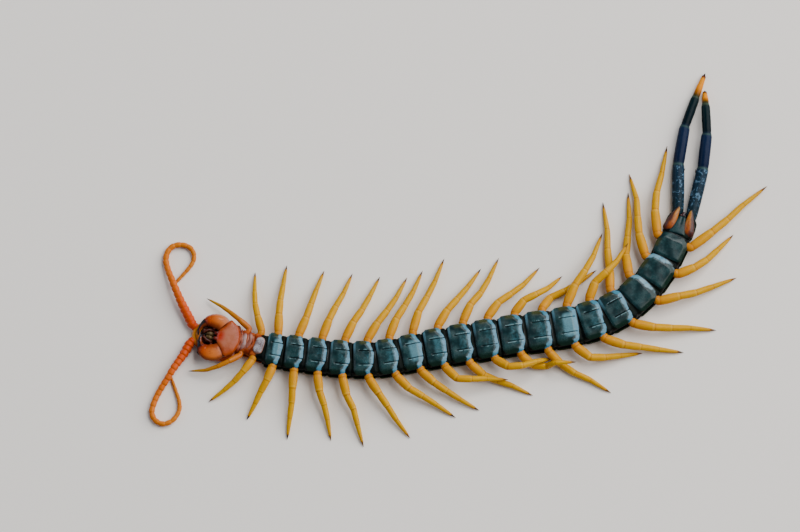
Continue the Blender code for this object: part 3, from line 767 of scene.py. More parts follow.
def buildLeg(number, side, tree, finish):
    path, along = densePath(legPath(number, side), legSizes["cornerReach"], legSizes["cornerSteps"])
    girth = legGirth(number)
    liftPath(path, along, legProfile, girth)
    name = "leg_%s_%02d" % (handNames[side], number)
    mesh = meshAlongPath(name, tree, path, {"Rings": legSizes["rings"], "Sides": legSizes["sides"],
                                            "Girth": girth * mm, "Finish": finish})
    addPiece("walking_" + name, mesh, finish, "leg_shell", name)


# Feelers in the head's own directions: forward, towards the left side, height, radius
feelerPaths = {
    "left": [
        (14.2, 2.0, 1.9, 1.20), (15.2, 2.3, 1.9, 1.38), (16.2, 2.9, 1.95, 1.56), (17.4, 4.4, 2.0, 1.60),
        (19.7, 7.2, 2.2, 1.52), (21.9, 10.0, 2.5, 1.38), (24.0, 13.0, 2.75, 1.24), (26.0, 16.0, 2.25, 1.12),
        (28.0, 19.2, 1.5, 1.04), (29.35, 22.4, 1.1, 1.02), (29.15, 25.3, 1.0, 0.97),
        (27.7, 27.25, 0.95, 0.93), (25.3, 28.1, 0.9, 0.90), (22.8, 27.8, 0.85, 0.85),
        (21.1, 26.2, 0.85, 0.80), (20.6, 24.0, 0.8, 0.75), (21.3, 21.5, 0.75, 0.70),
        (22.7, 18.8, 0.7, 0.62), (24.1, 16.3, 0.62, 0.54), (25.2, 14.2, 0.5, 0.41),
    ],
    "right": [
        (14.2, -2.0, 1.9, 1.20), (15.0, -2.5, 1.9, 1.38), (15.6, -3.6, 1.95, 1.54), (16.0, -5.0, 2.0, 1.56),
        (16.8, -7.6, 2.15, 1.44), (17.9, -10.5, 2.4, 1.31), (19.0, -13.3, 2.5, 1.20),
        (19.9, -16.0, 2.15, 1.10), (21.0, -19.0, 1.6, 1.07), (22.0, -22.2, 1.1, 1.02),
        (22.52, -25.4, 1.05, 1.01), (22.45, -28.1, 1.0, 0.96), (21.0, -30.25, 0.95, 0.92),
        (18.5, -31.05, 0.9, 0.88), (16.2, -30.0, 0.85, 0.84), (14.7, -27.9, 0.8, 0.80),
        (14.1, -25.2, 0.78, 0.76), (14.8, -22.5, 0.7, 0.69), (16.3, -19.8, 0.65, 0.60),
        (18.0, -17.0, 0.58, 0.52), (19.5, -14.6, 0.5, 0.41),
    ],
}
feelerSizes = {"Articles": 27.0, "Crowding": 0.92, "Rings": 420, "Sides": 24}
beadProfile = [(0.0, 0.78), (0.10, 0.87), (0.45, 0.96), (0.78, 1.0), (0.93, 0.94), (1.0, 0.78)]


def buildFeeler(side, tree, finish):
    name = handNames[side]
    path = smoothPath(feelerPaths[name], 6)
    points = [headPoint(p[0], p[1], max(p[2], p[3] + 0.1)) for p in path]
    girths = [p[3] for p in path]
    girths[-1] *= 0.55
    mesh = meshAlongPath("feeler", tree, points, {**feelerSizes, "Girth": mm, "Finish": finish}, girths)
    addPiece("feeler_" + name, mesh, finish, "antenna_shell", "antenna_" + name)


# The hindmost legs: swing outwards from the body's line, length, height at the end
hindParts = {
    "left": [(17, 16.2, 2.2), (9, 12.4, 1.9), (-1, 10.9, 1.4), (-2, 8.59, 0.5)],
    "right": [(-5, 16.3, 2.5), (-12, 11.7, 3.2), (-21, 9.4, 3.6), (-21, 5.6, 0.6)],
}
hindSizes = {"girth": 2.12, "behind": 7.9, "aside": 2.35, "height": 2.45, "rings": 260, "sides": 40,
             "reachIn": 1.0, "stub": 0.7, "cornerReach": 1.0, "cornerSteps": 5}
thornPlaces = [(0.36, 15), (0.50, 50), (0.60, 8), (0.72, 38), (0.46, -20), (0.66, -16), (0.80, 62)]


def hindProfile(joints):
    # radius along a hindmost leg as a share of its girth, from where its joints fall
    a, b, c, d = joints
    return [
        (0.0, 0.78), (a * 0.05, 0.88), (a * 0.45, 0.96), (a * 0.80, 0.95), (a - 0.012, 0.91), (a, 0.84),
        (a + 0.008, 0.83), (a + 0.03, 0.87), ((a + b) / 2, 0.88), (b - 0.02, 0.84), (b - 0.004, 0.76),
        (b + 0.006, 0.67), (b + 0.03, 0.69), ((b + c) / 2, 0.71), (c - 0.02, 0.67), (c - 0.004, 0.59),
        (c + 0.006, 0.52), (c + 0.03, 0.53), (c + (d - c) * 0.46, 0.48), (c + (d - c) * 0.48, 0.45),
        (c + (d - c) * 0.86, 0.33), (c + (d - c) * 0.90, 0.20), (1.0, 0.04),
    ]


def buildHindLeg(side):
    name, heading, s = handNames[side], tail["heading"], hindSizes
    joints = [tailPoint(s["behind"], side * s["aside"], s["height"])]
    for swing, run, level in hindParts[name]:
        joints.append(joints[-1] + direction(heading + side * swing) * run)
        joints[-1].z = level
    root = joints[0]
    knots = [root - direction(heading) * s["reachIn"], root, root + direction(heading) * s["stub"]]
    path, along = densePath(knots + joints[1:], s["cornerReach"], s["cornerSteps"])
    shares = [float(along[int(np.argmin([np.linalg.norm(p - np.array(joint)) for p in path]))])
              for joint in joints[1:4]] + [1.0]
    profile = hindProfile(shares)
    liftPath(path, along, profile, s["girth"])
    finish = hindFinish("hindLegShell_" + name, shares)
    tree = makeTubeTree("hindLegAlongPath_" + name, profile)
    bits = [meshAlongPath("hindLeg", tree, path, {"Rings": s["rings"], "Sides": s["sides"],
                                                  "Girth": s["girth"] * mm, "Finish": finish})]
    thighEnd = joints[1]
    onward = (thighEnd - root).normalized()
    inward = leftOf(heading) * -side
    corner = root.lerp(thighEnd, 0.86) + upwards * 0.4
    bits.append(cone([corner + inward * 0.9, corner + inward * 1.75 + onward * 0.45,
                      corner + inward * 2.25 + onward * 1.3], [0.55, 0.42, 0.05]))
    for share, around in thornPlaces:
        spot = root.lerp(thighEnd, share)
        outward = inward * math.cos(math.radians(around)) + upwards * math.sin(math.radians(around))
        bits.append(cone([spot + outward * 1.5, spot + outward * 1.85 + onward * 0.12,
                          spot + outward * 2.2 + onward * 0.42], [0.26, 0.17, 0.03]))
    joined = joinMeshes("hindLeg", bits)
    joined.polygons.foreach_set("use_smooth", [True] * len(joined.polygons))
    addPiece("hind_leg_" + name, joined, finish, "hind_leg_shell", "ultimate_leg_" + name)


# Head: shell, mouth parts, forcipular shield with its tooth plates, poison claws and eyes
headOutline = [(0.5, 4.4), (2.4, 5.8), (5.5, 6.5), (8.6, 6.4), (10.7, 5.7), (12.7, 4.3), (14.3, 3.3),
               (15.5, 1.2)]
headLayers = [
    (0.48, 0.0), (0.66, 0.12), (0.80, 0.36), (0.90, 0.72), (0.955, 1.12), (0.985, 1.55), (1.0, 2.0),
    (0.992, 2.40), (0.97, 2.78), (0.925, 3.0), (0.86, 3.08), (0.74, 3.02), (0.55, 2.92), (0.3, 2.86),
    (0.03, 2.85),
]
shieldOutline = [(0.10, 0.9), (0.52, 2.7), (1.4, 4.4), (2.9, 5.6), (4.2, 6.05), (5.9, 3.75), (7.4, 1.6)]
shieldLayers = [
    (0.86, 3.4), (0.95, 3.85), (0.985, 4.3), (1.0, 4.75), (1.0, 5.05), (0.988, 5.35), (0.962, 5.62),
    (0.92, 5.82), (0.85, 5.97), (0.75, 6.08), (0.60, 6.17), (0.42, 6.23), (0.22, 6.26), (0.02, 6.27),
]
domeCentres = {"head": 7.5, "shield": 3.8}  # how far ahead of the neck their layers draw together


def rightSwell(forward):
    # the head lies tipped a little, so its right side reaches further out
    return 1.0 + neck["rightSwell"] * min(max((14.0 - forward) / 3.0, 0.0), 1.0)


def headLoop(half, count, tipped=False):
    right = [(a, -b * (rightSwell(a) if tipped else 1.0)) for a, b in reversed(half)]
    return smoothLoop(half + right, count)


def domeFromLayers(name, loop, layers, centre, carve):
    # a rounded shell from layers of one outline, each with a scale about a centre and a height
    rings, marks = [], []
    widest = max(range(len(layers)), key=lambda index: layers[index][0])
    for index, (scale, up) in enumerate(layers):
        spots = [(centre + (forward - centre) * scale, across * scale) for forward, across in loop]
        rings.append([headPoint(a, b, max(up + carve(a, b, scale), 0.0)) for a, b in spots])
        marks.append([(scale if index > widest else 1.0, a, b) for a, b in spots])
    return meshFromRings(name, rings, namedMarks(("edge", "forward", "aside"), marks))


def taperedTube(points, sides=18, steps=5, kind=0.0):
    # a closed tube through (forward, across, height, radius) points of the head; kind tells its finish
    knots = smoothPath(points, steps)
    along = kind + np.linspace(0.0, 1.0, len(knots))
    return tubeThrough("tube", knots, sides, {"along": along}, place=lambda spot: headPoint(*spot))


def buildHeadShell(finish):
    def carve(a, b, scale):
        # the mouth field sinks between the claws
        return -0.45 * softStep(3.6 - math.hypot(a - 10.2, b * 1.2), 0.0, 1.8) if scale < 0.9 else 0.0
    loop = headLoop(headOutline, 132, True)
    shell = domeFromLayers("headShell", loop, headLayers, domeCentres["head"], carve)
    addPiece("head_shell", shell, finish, "head_shell", "head")


# Mouth parts of one side, each with the number that tells its finish, and the upper lip
mouthPairs = [
    (0.0, [(8.6, 1.75, 3.3, 0.50), (9.6, 1.85, 3.95, 0.56), (10.8, 1.55, 4.35, 0.50),
           (11.6, 0.85, 4.45, 0.40), (11.75, 0.32, 4.4, 0.22)]),
    (2.0, [(8.7, 0.62, 3.2, 0.40), (9.3, 0.66, 3.85, 0.62), (10.1, 0.58, 4.05, 0.60),
           (10.75, 0.40, 3.85, 0.40), (11.0, 0.35, 3.5, 0.15)]),
    (4.0, [(11.2, 2.4, 3.0, 0.55), (11.9, 1.5, 3.45, 0.60), (12.2, 0.6, 3.55, 0.42), (12.2, 0.2, 3.5, 0.15)]),
]
upperLip = [(12.6, 2.5, 2.75, 0.30), (13.35, 1.5, 3.0, 0.52), (13.7, 0.0, 3.1, 0.60),
            (13.35, -1.5, 3.0, 0.52), (12.6, -2.5, 2.75, 0.30)]


def buildMouth(finish):
    bits = []
    for side in (1, -1):
        for kind, points in mouthPairs:
            bits.append(taperedTube([(a, side * b, up, radius) for a, b, up, radius in points], kind=kind))
    bits.append(taperedTube(upperLip, kind=6.0))
    addPiece("mouth_parts", joinMeshes("mouthParts", bits), finish, "head_shell", "head")


# Tooth plates: the height and the growth of their layers, and the teeth on each of them
toothPlateLayers = [(4.75, 0.0), (5.1, 0.02), (5.42, 0.0), (5.60, -0.08), (5.66, -0.2)]
toothPlaces = [(8.38, 0.45, 0.13), (8.45, 0.72, 0.15), (8.38, 1.0, 0.15), (8.2, 1.25, 0.13)]


def buildShield(finish, toothFinish):
    def carve(a, b, scale):
        # a fine line along the middle in a shallow hollow
        line = max(0.0, 1 - abs(b) / 0.16) * softStep(a, 3.4, 5.0)
        hollow = 0.10 * math.exp(-((b / 1.6) ** 2)) * softStep(a, 4.0, 6.5)
        return -0.05 * line - hollow if scale < 0.93 else 0.0
    loop = headLoop(shieldOutline, 150)
    shield = domeFromLayers("shield", loop, shieldLayers, domeCentres["shield"], carve)
    addPiece("forcipular_shield", shield, finish, "head_shell", "forcipular_coxosternite")
    bits = []
    for side in (1, -1):
        rings = []
        for up, grow in toothPlateLayers:
            corners = [(6.8, 0.28 - grow), (6.8, 1.42 + grow), (7.5, 1.48 + grow), (8.2 + grow, 1.32 + grow),
                       (8.42 + grow, 0.85), (8.25 + grow, 0.34 - grow), (7.5, 0.26 - grow)]
            loop = smoothLoop([(a, side * b) for a, b in corners], 40)
            rings.append([headPoint(a, b, up) for a, b in loop])
        bits.append(meshFromRings("toothPlate", rings, {"along": 0.0}))
        for a, b, size in toothPlaces:
            knots = [(a - 0.25, side * b, 5.25, size * 1.3), (a + 0.05, side * b, 5.3, size * 1.2),
                     (a + 0.26, side * b, 5.32, 0.03)]
            bits.append(taperedTube(knots, 12, 3, kind=2.0))
    addPiece("tooth_plates", joinMeshes("teeth", bits), toothFinish, "head_shell", "forcipular_coxosternite")


# Places along a poison claw: forward, across, height, heading, half width, half thickness
clawStations = {
    "left": [
        (5.7, 3.75, 4.8, 36, 2.30, 1.10), (6.05, 3.95, 4.8, 35, 2.46, 1.30),
        (7.2, 4.65, 4.8, 24, 2.52, 1.45), (8.9, 4.85, 4.8, 3, 2.40, 1.50),
        (10.5, 4.55, 4.75, -18, 2.05, 1.42), (11.6, 3.95, 4.7, -35, 1.55, 1.2),
        (12.3, 3.45, 4.6, -43, 1.18, 1.00), (13.0, 2.6, 4.5, -56, 0.78, 0.74),
        (13.5, 1.4, 4.4, -78, 0.54, 0.52), (13.6, 0.3, 4.35, -95, 0.38, 0.36),
        (13.35, -0.75, 4.3, -112, 0.10, 0.10),
    ],
    "right": [
        (5.4, 4.15, 4.8, 36, 2.35, 1.10), (5.75, 4.40, 4.8, 35, 2.55, 1.30),
        (7.0, 5.3, 4.8, 24, 2.72, 1.45), (8.8, 5.7, 4.8, 3, 2.68, 1.50),
        (10.3, 5.45, 4.75, -20, 2.28, 1.42), (11.4, 4.70, 4.7, -37, 1.72, 1.2),
        (12.0, 3.95, 4.6, -48, 1.16, 0.96), (12.4, 3.0, 4.5, -66, 0.78, 0.72),
        (12.6, 1.95, 4.5, -86, 0.54, 0.52), (12.5, 1.05, 4.45, -99, 0.38, 0.36),
        (12.2, 0.2, 4.4, -112, 0.10, 0.10),
    ],
}
clawGrooves = [(0.40, 0.012, 0.06), (0.50, 0.012, 0.10), (0.565, 0.010, 0.08)]
clawSizes = {"sides": 48, "acrossPower": 0.92, "upPower": 0.95, "rightToothAside": 0.55}
clawTooth = [(8.3, 2.75, 4.75, 0.42), (8.75, 2.35, 4.8, 0.36), (9.15, 1.98, 4.8, 0.16),
             (9.25, 1.88, 4.8, 0.04)]


def rounded(turn, power):
    # a cosine or sine, made a little squarer
    return math.copysign(abs(turn) ** power, turn)


def buildClaw(side, finish):
    name = handNames[side]
    dense = smoothPath(clawStations[name], 10)
    shares = np.linspace(0.0, 1.0, len(dense))
    angles = turns(clawSizes["sides"])
    rings = []
    for share, (forward, across, up, heading, wide, thick) in zip(shares, dense):
        for place, width, depth in clawGrooves:
            pinch = max(0.0, 1 - abs(share - place) / width) * depth
            wide, thick = wide * (1 - pinch), thick * (1 - pinch)
        turn = math.radians(heading)
        ring = []
        for angle in angles:
            reach = wide * rounded(math.cos(angle), clawSizes["acrossPower"])
            lift = thick * rounded(math.sin(angle), clawSizes["upPower"])
            ring.append(headPoint(forward - math.sin(turn) * reach, side * (across + math.cos(turn) * reach),
                                  up + lift))
        rings.append(ring)
    inner = [[-math.cos(angle) for angle in angles]] * len(rings)
    mesh = meshFromRings("claw", rings, {"along": shares, "inner": inner, "hand": float(side)})
    aside = clawSizes["rightToothAside"] if side < 0 else 0.0
    knots = [(a, side * (b + aside), up, radius) for a, b, up, radius in clawTooth]
    joined = joinMeshes("claw", [mesh, taperedTube(knots, 14, 4, kind=3.0)])
    addPiece("poison_claw_" + name, joined, finish, "head_shell", "forcipule_" + name)


# Eyes: a low pad at the head's side with four lenses
eyeSizes = {"halfLength": 1.05, "halfHeight": 0.66, "height": 1.75, "lens": 0.27, "rise": 0.6}
eyeLayers = [(-0.1, 1.0), (0.2, 1.06), (0.42, 1.0), (0.56, 0.86), (0.62, 0.6), (0.64, 0.3)]
lensPlaces = [(-0.48, 2.0), (-0.02, 2.08), (0.5, 1.85), (0.1, 1.42)]


def buildEye(side, finish):
    name, s = handNames[side], eyeSizes
    facing = Vector((1.4, 2.0)).normalized()
    edge = Vector((facing.y, -facing.x))
    middle = Vector((11.7, 5.0)) if side > 0 else Vector((11.76, 5.0 * rightSwell(11.7) + 0.12))
    outward = headPoint(facing.x, side * facing.y, 0.0) - headPoint(0.0, 0.0, 0.0)
    rings = []
    for depth, size in eyeLayers:
        ring = []
        for angle in turns(36):
            spot = middle + facing * depth + edge * (s["halfLength"] * size * math.cos(angle))
            up = s["height"] + s["halfHeight"] * size * math.sin(angle)
            ring.append(headPoint(spot.x, side * spot.y, up))
        rings.append(ring)
    bits = [meshFromRings("eyePad", rings)]
    for run, up in lensPlaces:
        spot = middle + facing * s["rise"] + edge * run
        bits.append(dome(headPoint(spot.x, side * spot.y, up), s["lens"], outward))
    addPiece("eyes_" + name, joinMeshes("eyes", bits), finish, "eye_lens", "eye_" + name)


# Crescent folds of soft skin over the first segment: place behind the neck, shift to the left,
# half width, radius, flatness, height, and how grey it is
neckFolds = [
    (-0.42, -0.55, 3.7, 0.30, 1.0, 5.02, 0.0), (0.20, -0.35, 3.9, 0.36, 0.8, 4.78, 0.25),
    (1.10, -0.20, 3.3, 0.62, 0.55, 4.86, 0.9), (2.05, 0.0, 3.5, 0.26, 0.9, 4.70, 0.1),
    (2.85, 0.45, 3.2, 0.52, 0.6, 4.88, 0.45), (3.75, 0.15, 3.3, 0.30, 0.9, 4.80, 0.0),
]
foldSizes = {"steps": 35, "sides": 20, "bow": 0.85, "fall": 2.1, "fallFrom": 0.60}


def buildNeckFolds(finish):
    bits, s = [], foldSizes
    first = segments[0].heading
    for number, (back, shift, half, radius, flat, up, grey) in enumerate(neckFolds):
        heading = neck["headHeading"] + (first - neck["headHeading"]) * min(max(back / 3.0, 0.0), 1.0)
        base = neckPlace + direction(first) * back + leftOf(heading) * shift
        knots = []
        for t in np.linspace(-1.0, 1.0, s["steps"]):
            bow = -s["bow"] * t * t + 0.10 * math.sin(5.3 * t + number * 1.7)
            rise = up - 0.22 * t * t - s["fall"] * max(0.0, abs(t) - s["fallFrom"]) ** 1.4
            swell = 1.0 - 0.60 * t ** 4 + 0.12 * math.sin(7.0 * t + number * 2.3)
            knots.append((*placeFrom(base, heading, bow + 0.4, t * half, rise), radius * swell))
        values = {"along": np.linspace(0.0, 1.0, s["steps"]), "grey": grey}
        bits.append(tubeThrough("fold", knots, s["sides"], values, flat))
    addPiece("neck_folds", joinMeshes("folds", bits), finish, "head_shell", "trunk_01_to_03")


# Tail: soft sides, last belly plate, last back plate and the two spiked side plates
tailStations = [
    (-0.35, 2.9, 4.0, 4.2, 4.7, 0.3), (0.4, 3.0, 4.5, 4.6, 5.3, 0.1), (3.6, 2.2, 4.7, 4.8, 5.3, 0.0),
    (5.9, 1.4, 4.6, 4.7, 5.0, 0.0), (7.0, 1.0, 4.3, 4.5, 4.4, 0.0), (7.5, 0.8, 3.9, 4.1, 3.9, 0.25),
]
tailSizes = {"bellyFrom": 0.25, "bellyRun": 6.35, "bellyTop": 5.56, "bellyUnder": 4.75, "bellyFall": 0.25,
             "backFrom": 0.15, "backRun": 7.6, "backBow": 0.6, "backCurl": 1.35, "backThickness": 0.35}
tailBellyWidths = [(0.0, 2.55), (0.04, 2.70), (0.3, 2.35), (0.7, 1.75), (0.9, 1.35), (0.97, 1.1), (1.0, 0.85)]
tailBackWidths = [(0.0, 4.5), (0.1, 4.95), (0.5, 5.1), (0.8, 4.9), (0.93, 4.2), (1.0, 3.2)]
sidePlateStations = [
    (0.9, 3.45, 3.7, 1.25, 0.9), (1.7, 3.32, 4.2, 1.75, 1.1), (3.2, 3.10, 4.6, 1.78, 1.05),
    (5.4, 2.75, 4.95, 1.36, 0.82), (7.4, 2.4, 5.15, 0.88, 0.5), (8.6, 2.15, 5.25, 0.5, 0.34),
    (9.2, 2.05, 5.25, 0.06, 0.06),
]
tailKnobs = [(6.9, 0.0, 4.75, 0.62), (6.75, 0.62, 4.85, 0.34), (6.75, -0.62, 4.85, 0.34),
             (7.5, 0.0, 4.1, 0.7)]


def buildTailWall(finish):
    rings = []
    for back, plate, wall, under, height, lift in smoothPath(tailStations, 6):
        profile = [
            (0.0, height - 0.25), (plate, height - 0.4), (wall * 0.82, height - 0.75),
            (wall * 0.97, height - 1.5), (wall * 0.97, height * 0.45), (wall * 0.88, height * 0.34),
            (under * 0.95, height * 0.26), (under * 0.9, 0.9 + lift * 0.5), (under * 0.6, 0.45 + lift),
            (0.0, 0.35 + lift),
        ]
        rings.append([tailPoint(back, a, b) for a, b in closedSection(profile, 64)])
    mesh = meshFromRings("tailWall", rings, {"station": 21.0})
    addPiece("tail_wall", mesh, finish, "body_shell", "tail_segment")


def buildTailBelly(finish):
    rings, marks, s = [], [], tailSizes
    for share in np.linspace(0.0, 1.0, 40):
        back = s["bellyFrom"] + s["bellyRun"] * share
        fall = s["bellyFall"] * share
        half = rampBetween(share, tailBellyWidths)
        ends = min(share / 0.06, (1 - share) / 0.08, 1.0)
        edge = max(0.0, 1 - (1 - share) / 0.14) * 0.6
        ring, row = [], []
        for t in np.linspace(-1.0, 1.0, 41):
            drop = 0.45 * (1 - ends) ** 1.5 + 0.45 * max(0.0, abs(t) - 0.72) ** 1.3 / 0.28 ** 1.3
            hollow = 0.10 * math.exp(-(t / 0.25) ** 2) * softStep(share, 0.35, 0.8)
            ring.append(tailPoint(back, t * half, s["bellyTop"] - 0.12 * t * t - drop - hollow - fall))
            row.append((edge, t))
        ring += [tailPoint(back, t * half, s["bellyUnder"] - fall) for t in np.linspace(0.95, -0.95, 9)]
        rings.append(ring)
        marks.append(row + [(0.0, -1.0)] * 9)
    # the last belly plate takes a low sheen strength: little painted reflection
    values = {**namedMarks(("edge", "sideways"), marks), "tone": -0.3, "place": 0.2, "suture": 0.0}
    mesh = meshFromRings("tailBelly", rings, values, 50)
    addPiece("tail_belly_plate", mesh, finish, "body_shell", "tail_segment")


def buildTailBack(finish):
    rings, rims, s = [], [], tailSizes
    for share in np.linspace(0.0, 1.0, 34):
        half = rampBetween(share, tailBackWidths)
        ends = 0.12 * max(0.0, 1 - share / 0.06) ** 2 + 0.25 * max(0.0, (share - 0.9) / 0.1) ** 2
        outer, inner, rim = [], [], []
        for t in np.linspace(-1.0, 1.0, 60):
            bend = max(0.0, (abs(t) - backSizes["bendFrom"]) / (1 - backSizes["bendFrom"]))
            rise = s["backCurl"] * bend ** 1.9 + ends
            back = s["backFrom"] + (s["backRun"] + s["backBow"] * (1 - t * t)) * share
            outer.append(tailPoint(back, t * half, rise))
            inner.append(tailPoint(back, t * half * 0.985, rise + s["backThickness"] - 0.12 * bend))
            rim.append(softStep(abs(t), 0.93, 0.97))
        rings.append(outer + inner[::-1])
        rims.append(rim + rim[::-1])
    mesh = meshFromRings("tailBack", rings, {"rim": rims, "suture": 0.0, "station": 21.0}, 40)
    addPiece("tail_back_plate", mesh, finish, "body_shell", "tail_segment")


def buildSidePlates(finish):
    bits, angles = [], turns(30)
    for hand in (1, -1):
        dense = smoothPath(sidePlateStations, 7)
        rings = []
        for back, across, up, wide, thick in dense:
            spots = [(across + wide * math.cos(angle), up + thick * math.sin(angle)) for angle in angles]
            rings.append([tailPoint(back, hand * a, b) for a, b in spots])
        along, aside = np.linspace(0.0, 1.0, len(dense)), [[math.cos(a) for a in angles]] * len(dense)
        bits.append(meshFromRings("sidePlate", rings, {"along": along, "aside": aside}))
        for back, across, up in ((9.0, 2.2, 5.3), (8.7, 1.95, 5.35)):
            spots = [tailPoint(back + run, hand * across, up + rise)
                     for run, rise in ((-0.3, 0.0), (0.1, 0.02), (0.45, 0.04))]
            bits.append(cone(spots, [0.16, 0.12, 0.02], 10))
    addPiece("tail_side_plates", joinMeshes("sidePlates", bits), finish, "hind_leg_shell", "tail_segment")


def buildTailEnd(finish):
    bits = [dome(tailPoint(back, across, up), size, direction(tail["heading"]), 24)
            for back, across, up, size in tailKnobs]
    addPiece("tail_end", joinMeshes("tailEnd", bits), finish, "hind_leg_shell", "tail_segment")


# Finishes
def bellyFinish():
    f = Finish("bellyShell", 420.0, 2600.0, Coat_Roughness=0.12, IOR=1.28)
    edge, signed, line, tone, place = f.values("edge", "sideways", "suture", "tone", "place")
    wander = (f.streaks - 0.5) * 0.9
    deep = f.mix(f.patches, (0.003, 0.015, 0.018), (0.012, 0.044, 0.048))
    # painted shade: the sloping right side of each plate, turned from the light, is darker green
    shadedRightSide = f.mix(signed.step(-0.55, -0.95), deep, (0.004, 0.016, 0.009))
    notch = signed.step(0.66, 0.88) * (place.step(0.22, 0.36) * place.step(0.74, 0.60))
    olive = f.mix(notch * 0.75, shadedRightSide, (0.050, 0.052, 0.010))
    # painted reflection: a pale blue sky sheen over the middle and rear of each plate, as strong as the
    # plate's sheen strength
    inside = abs(signed).step(0.78, 0.40) * place.step(0.22, 0.55)
    spread = inside * tone + inside * wander
    paintedSkySheen = f.mix(tone.step(0.55, 0.80), (0.042, 0.138, 0.172), (0.105, 0.245, 0.300))
    middle = f.mix(spread.step(0.10, 0.70) * 0.85, olive, paintedSkySheen)
    # painted reflection: a pale blue-white sheen on the rear facets, kept off the left corners and off the
    # right side of the last plates, and a painted highlight arc in streaks near the rear rim of the last
    # plates
    late = tone.step(0.02, -0.10) * signed.step(-0.05, -0.55)
    corner = signed.step(0.70, 0.95) * 0.45 + late * 0.7 + tone.step(-0.22, -0.28) * 0.85
    reach = (edge - corner) + (wander - signed.step(-0.80, -0.97) * 0.5)
    paintedArcGlint = tone.step(-0.05, -0.15) * (signed.step(-0.75, -0.35) * f.streaks.step(0.36, 0.52))
    paintedRearSheen = f.mix(paintedArcGlint, (0.056, 0.215, 0.320), (0.150, 0.310, 0.400))
    rear = f.mix(reach.step(0.20, 0.62) * 0.88, middle, paintedRearSheen)
    # painted highlight: a pale blue line along the front edge on the left side of the plate
    front = place.step(0.12, 0.06) * signed.step(0.05, 0.75) * tone.step(-0.10, 0.05)
    lined = f.mix(front * 0.85, rear, (0.085, 0.215, 0.290))
    brink = place.step(0.955, 0.975)
    lit = f.mix(brink, lined, (0.002, 0.006, 0.008))
    speck = f.mix(f.pits * 0.20, lit, (0.003, 0.010, 0.012))
    # painted highlight: a pale streaky line on the ridge beside each suture groove
    pale = f.mix(line.step(-0.15, -0.60) * f.streaks.step(0.42, 0.55) * 0.75, speck, (0.17, 0.28, 0.30))
    grooved = f.mix(line.step(0.05, 0.60) * 0.90, pale, (0.002, 0.004, 0.005))
    sheen = f.streaks.step(0.40, 0.62) * reach.step(0.10, 0.60)
    return f.done(grooved, (0.15, 0.30), (0.35, 0.00006), (sheen * 0.40 + 0.05) * (1.0 - brink))


def wallFinish():
    f = Finish("bodySkin", 700.0, 3200.0, IOR=1.12)
    station, = f.values("station")
    dark = f.mix(f.patches, (0.0015, 0.0025, 0.003), (0.005, 0.009, 0.007))
    warm = f.mix(f.patches, (0.15, 0.016, 0.003), (0.36, 0.075, 0.014))
    return f.done(f.mix(station.step(2.35, 2.55), warm, dark), (0.34, 0.55), (0.5, 0.00008))


def backFinish():
    f = Finish("backShell", 330.0, 2400.0, Coat_Weight=0.1, Coat_Roughness=0.15, IOR=1.3)
    rim, station, suture = f.values("rim", "station", "suture")
    dark = f.mix(f.patches, (0.006, 0.018, 0.012), (0.014, 0.034, 0.020))
    rimmed = f.mix(rim * 0.5, dark, (0.045, 0.055, 0.020))
    red = f.mix(f.patches, (0.42, 0.070, 0.012), (0.52, 0.11, 0.022))
    both = f.mix(station.step(2.2, 2.8), red, rimmed)
    return f.done(f.mix(suture * 0.7, both, (0.003, 0.006, 0.005)), (0.24, 0.42), (0.4, 0.00008))


def legFinish():
    f = Finish("legShell", 650.0, 3600.0, Coat_Weight=0.05, Coat_Roughness=0.10, Subsurface_Weight=0.10,
               Subsurface_Scale=0.0006, Subsurface_Radius=(1.0, 0.45, 0.12), IOR=1.15)
    along, = f.values("along")
    base = f.ramp(along, [
        (0.0, (0.42, 0.140, 0.010)), (0.10, (0.55, 0.235, 0.006)), (0.26, (0.55, 0.268, 0.001)),
        (0.50, (0.55, 0.288, 0.0)), (0.80, (0.52, 0.282, 0.0)), (0.92, (0.46, 0.220, 0.002)),
        (0.935, (0.10, 0.03, 0.01)), (0.955, (0.012, 0.007, 0.006)),
    ])
    amber = f.mix(f.patches * 0.35, base, (0.47, 0.185, 0.0))
    marks = f.rings(along, (0.300, 0.010), (0.499, 0.009), (0.707, 0.008))
    marks = marks | f.ring(along, 0.066, 0.012) * 0.8
    joints = f.mix(marks * 0.65, amber, (0.27, 0.065, 0.002))
    lips = f.rings(along, (0.278, 0.014), (0.482, 0.012))
    return f.done(f.mix(lips * 0.35, joints, (0.66, 0.42, 0.07)), (0.12, 0.26), (0.30, 0.00005))


def firstLegFinish():
    f = Finish("firstLegShell", 700.0, 3600.0, Coat_Weight=0.05, Coat_Roughness=0.10, IOR=1.22)
    along, = f.values("along")
    base = f.ramp(along, [
        (0.0, (0.36, 0.070, 0.010)), (0.18, (0.42, 0.115, 0.010)), (0.42, (0.44, 0.160, 0.004)),
        (0.68, (0.44, 0.195, 0.001)), (0.85, (0.40, 0.215, 0.001)), (0.92, (0.32, 0.17, 0.003)),
        (0.94, (0.06, 0.03, 0.01)), (0.96, (0.010, 0.008, 0.006)),
    ])
    marks = f.rings(along, (0.300, 0.012), (0.499, 0.011), (0.707, 0.010))
    brown = f.mix(f.patches * 0.4, base, (0.40, 0.12, 0.006))
    return f.done(f.mix(marks * 0.65, brown, (0.24, 0.055, 0.006)), (0.14, 0.28), (0.3, 0.00005))


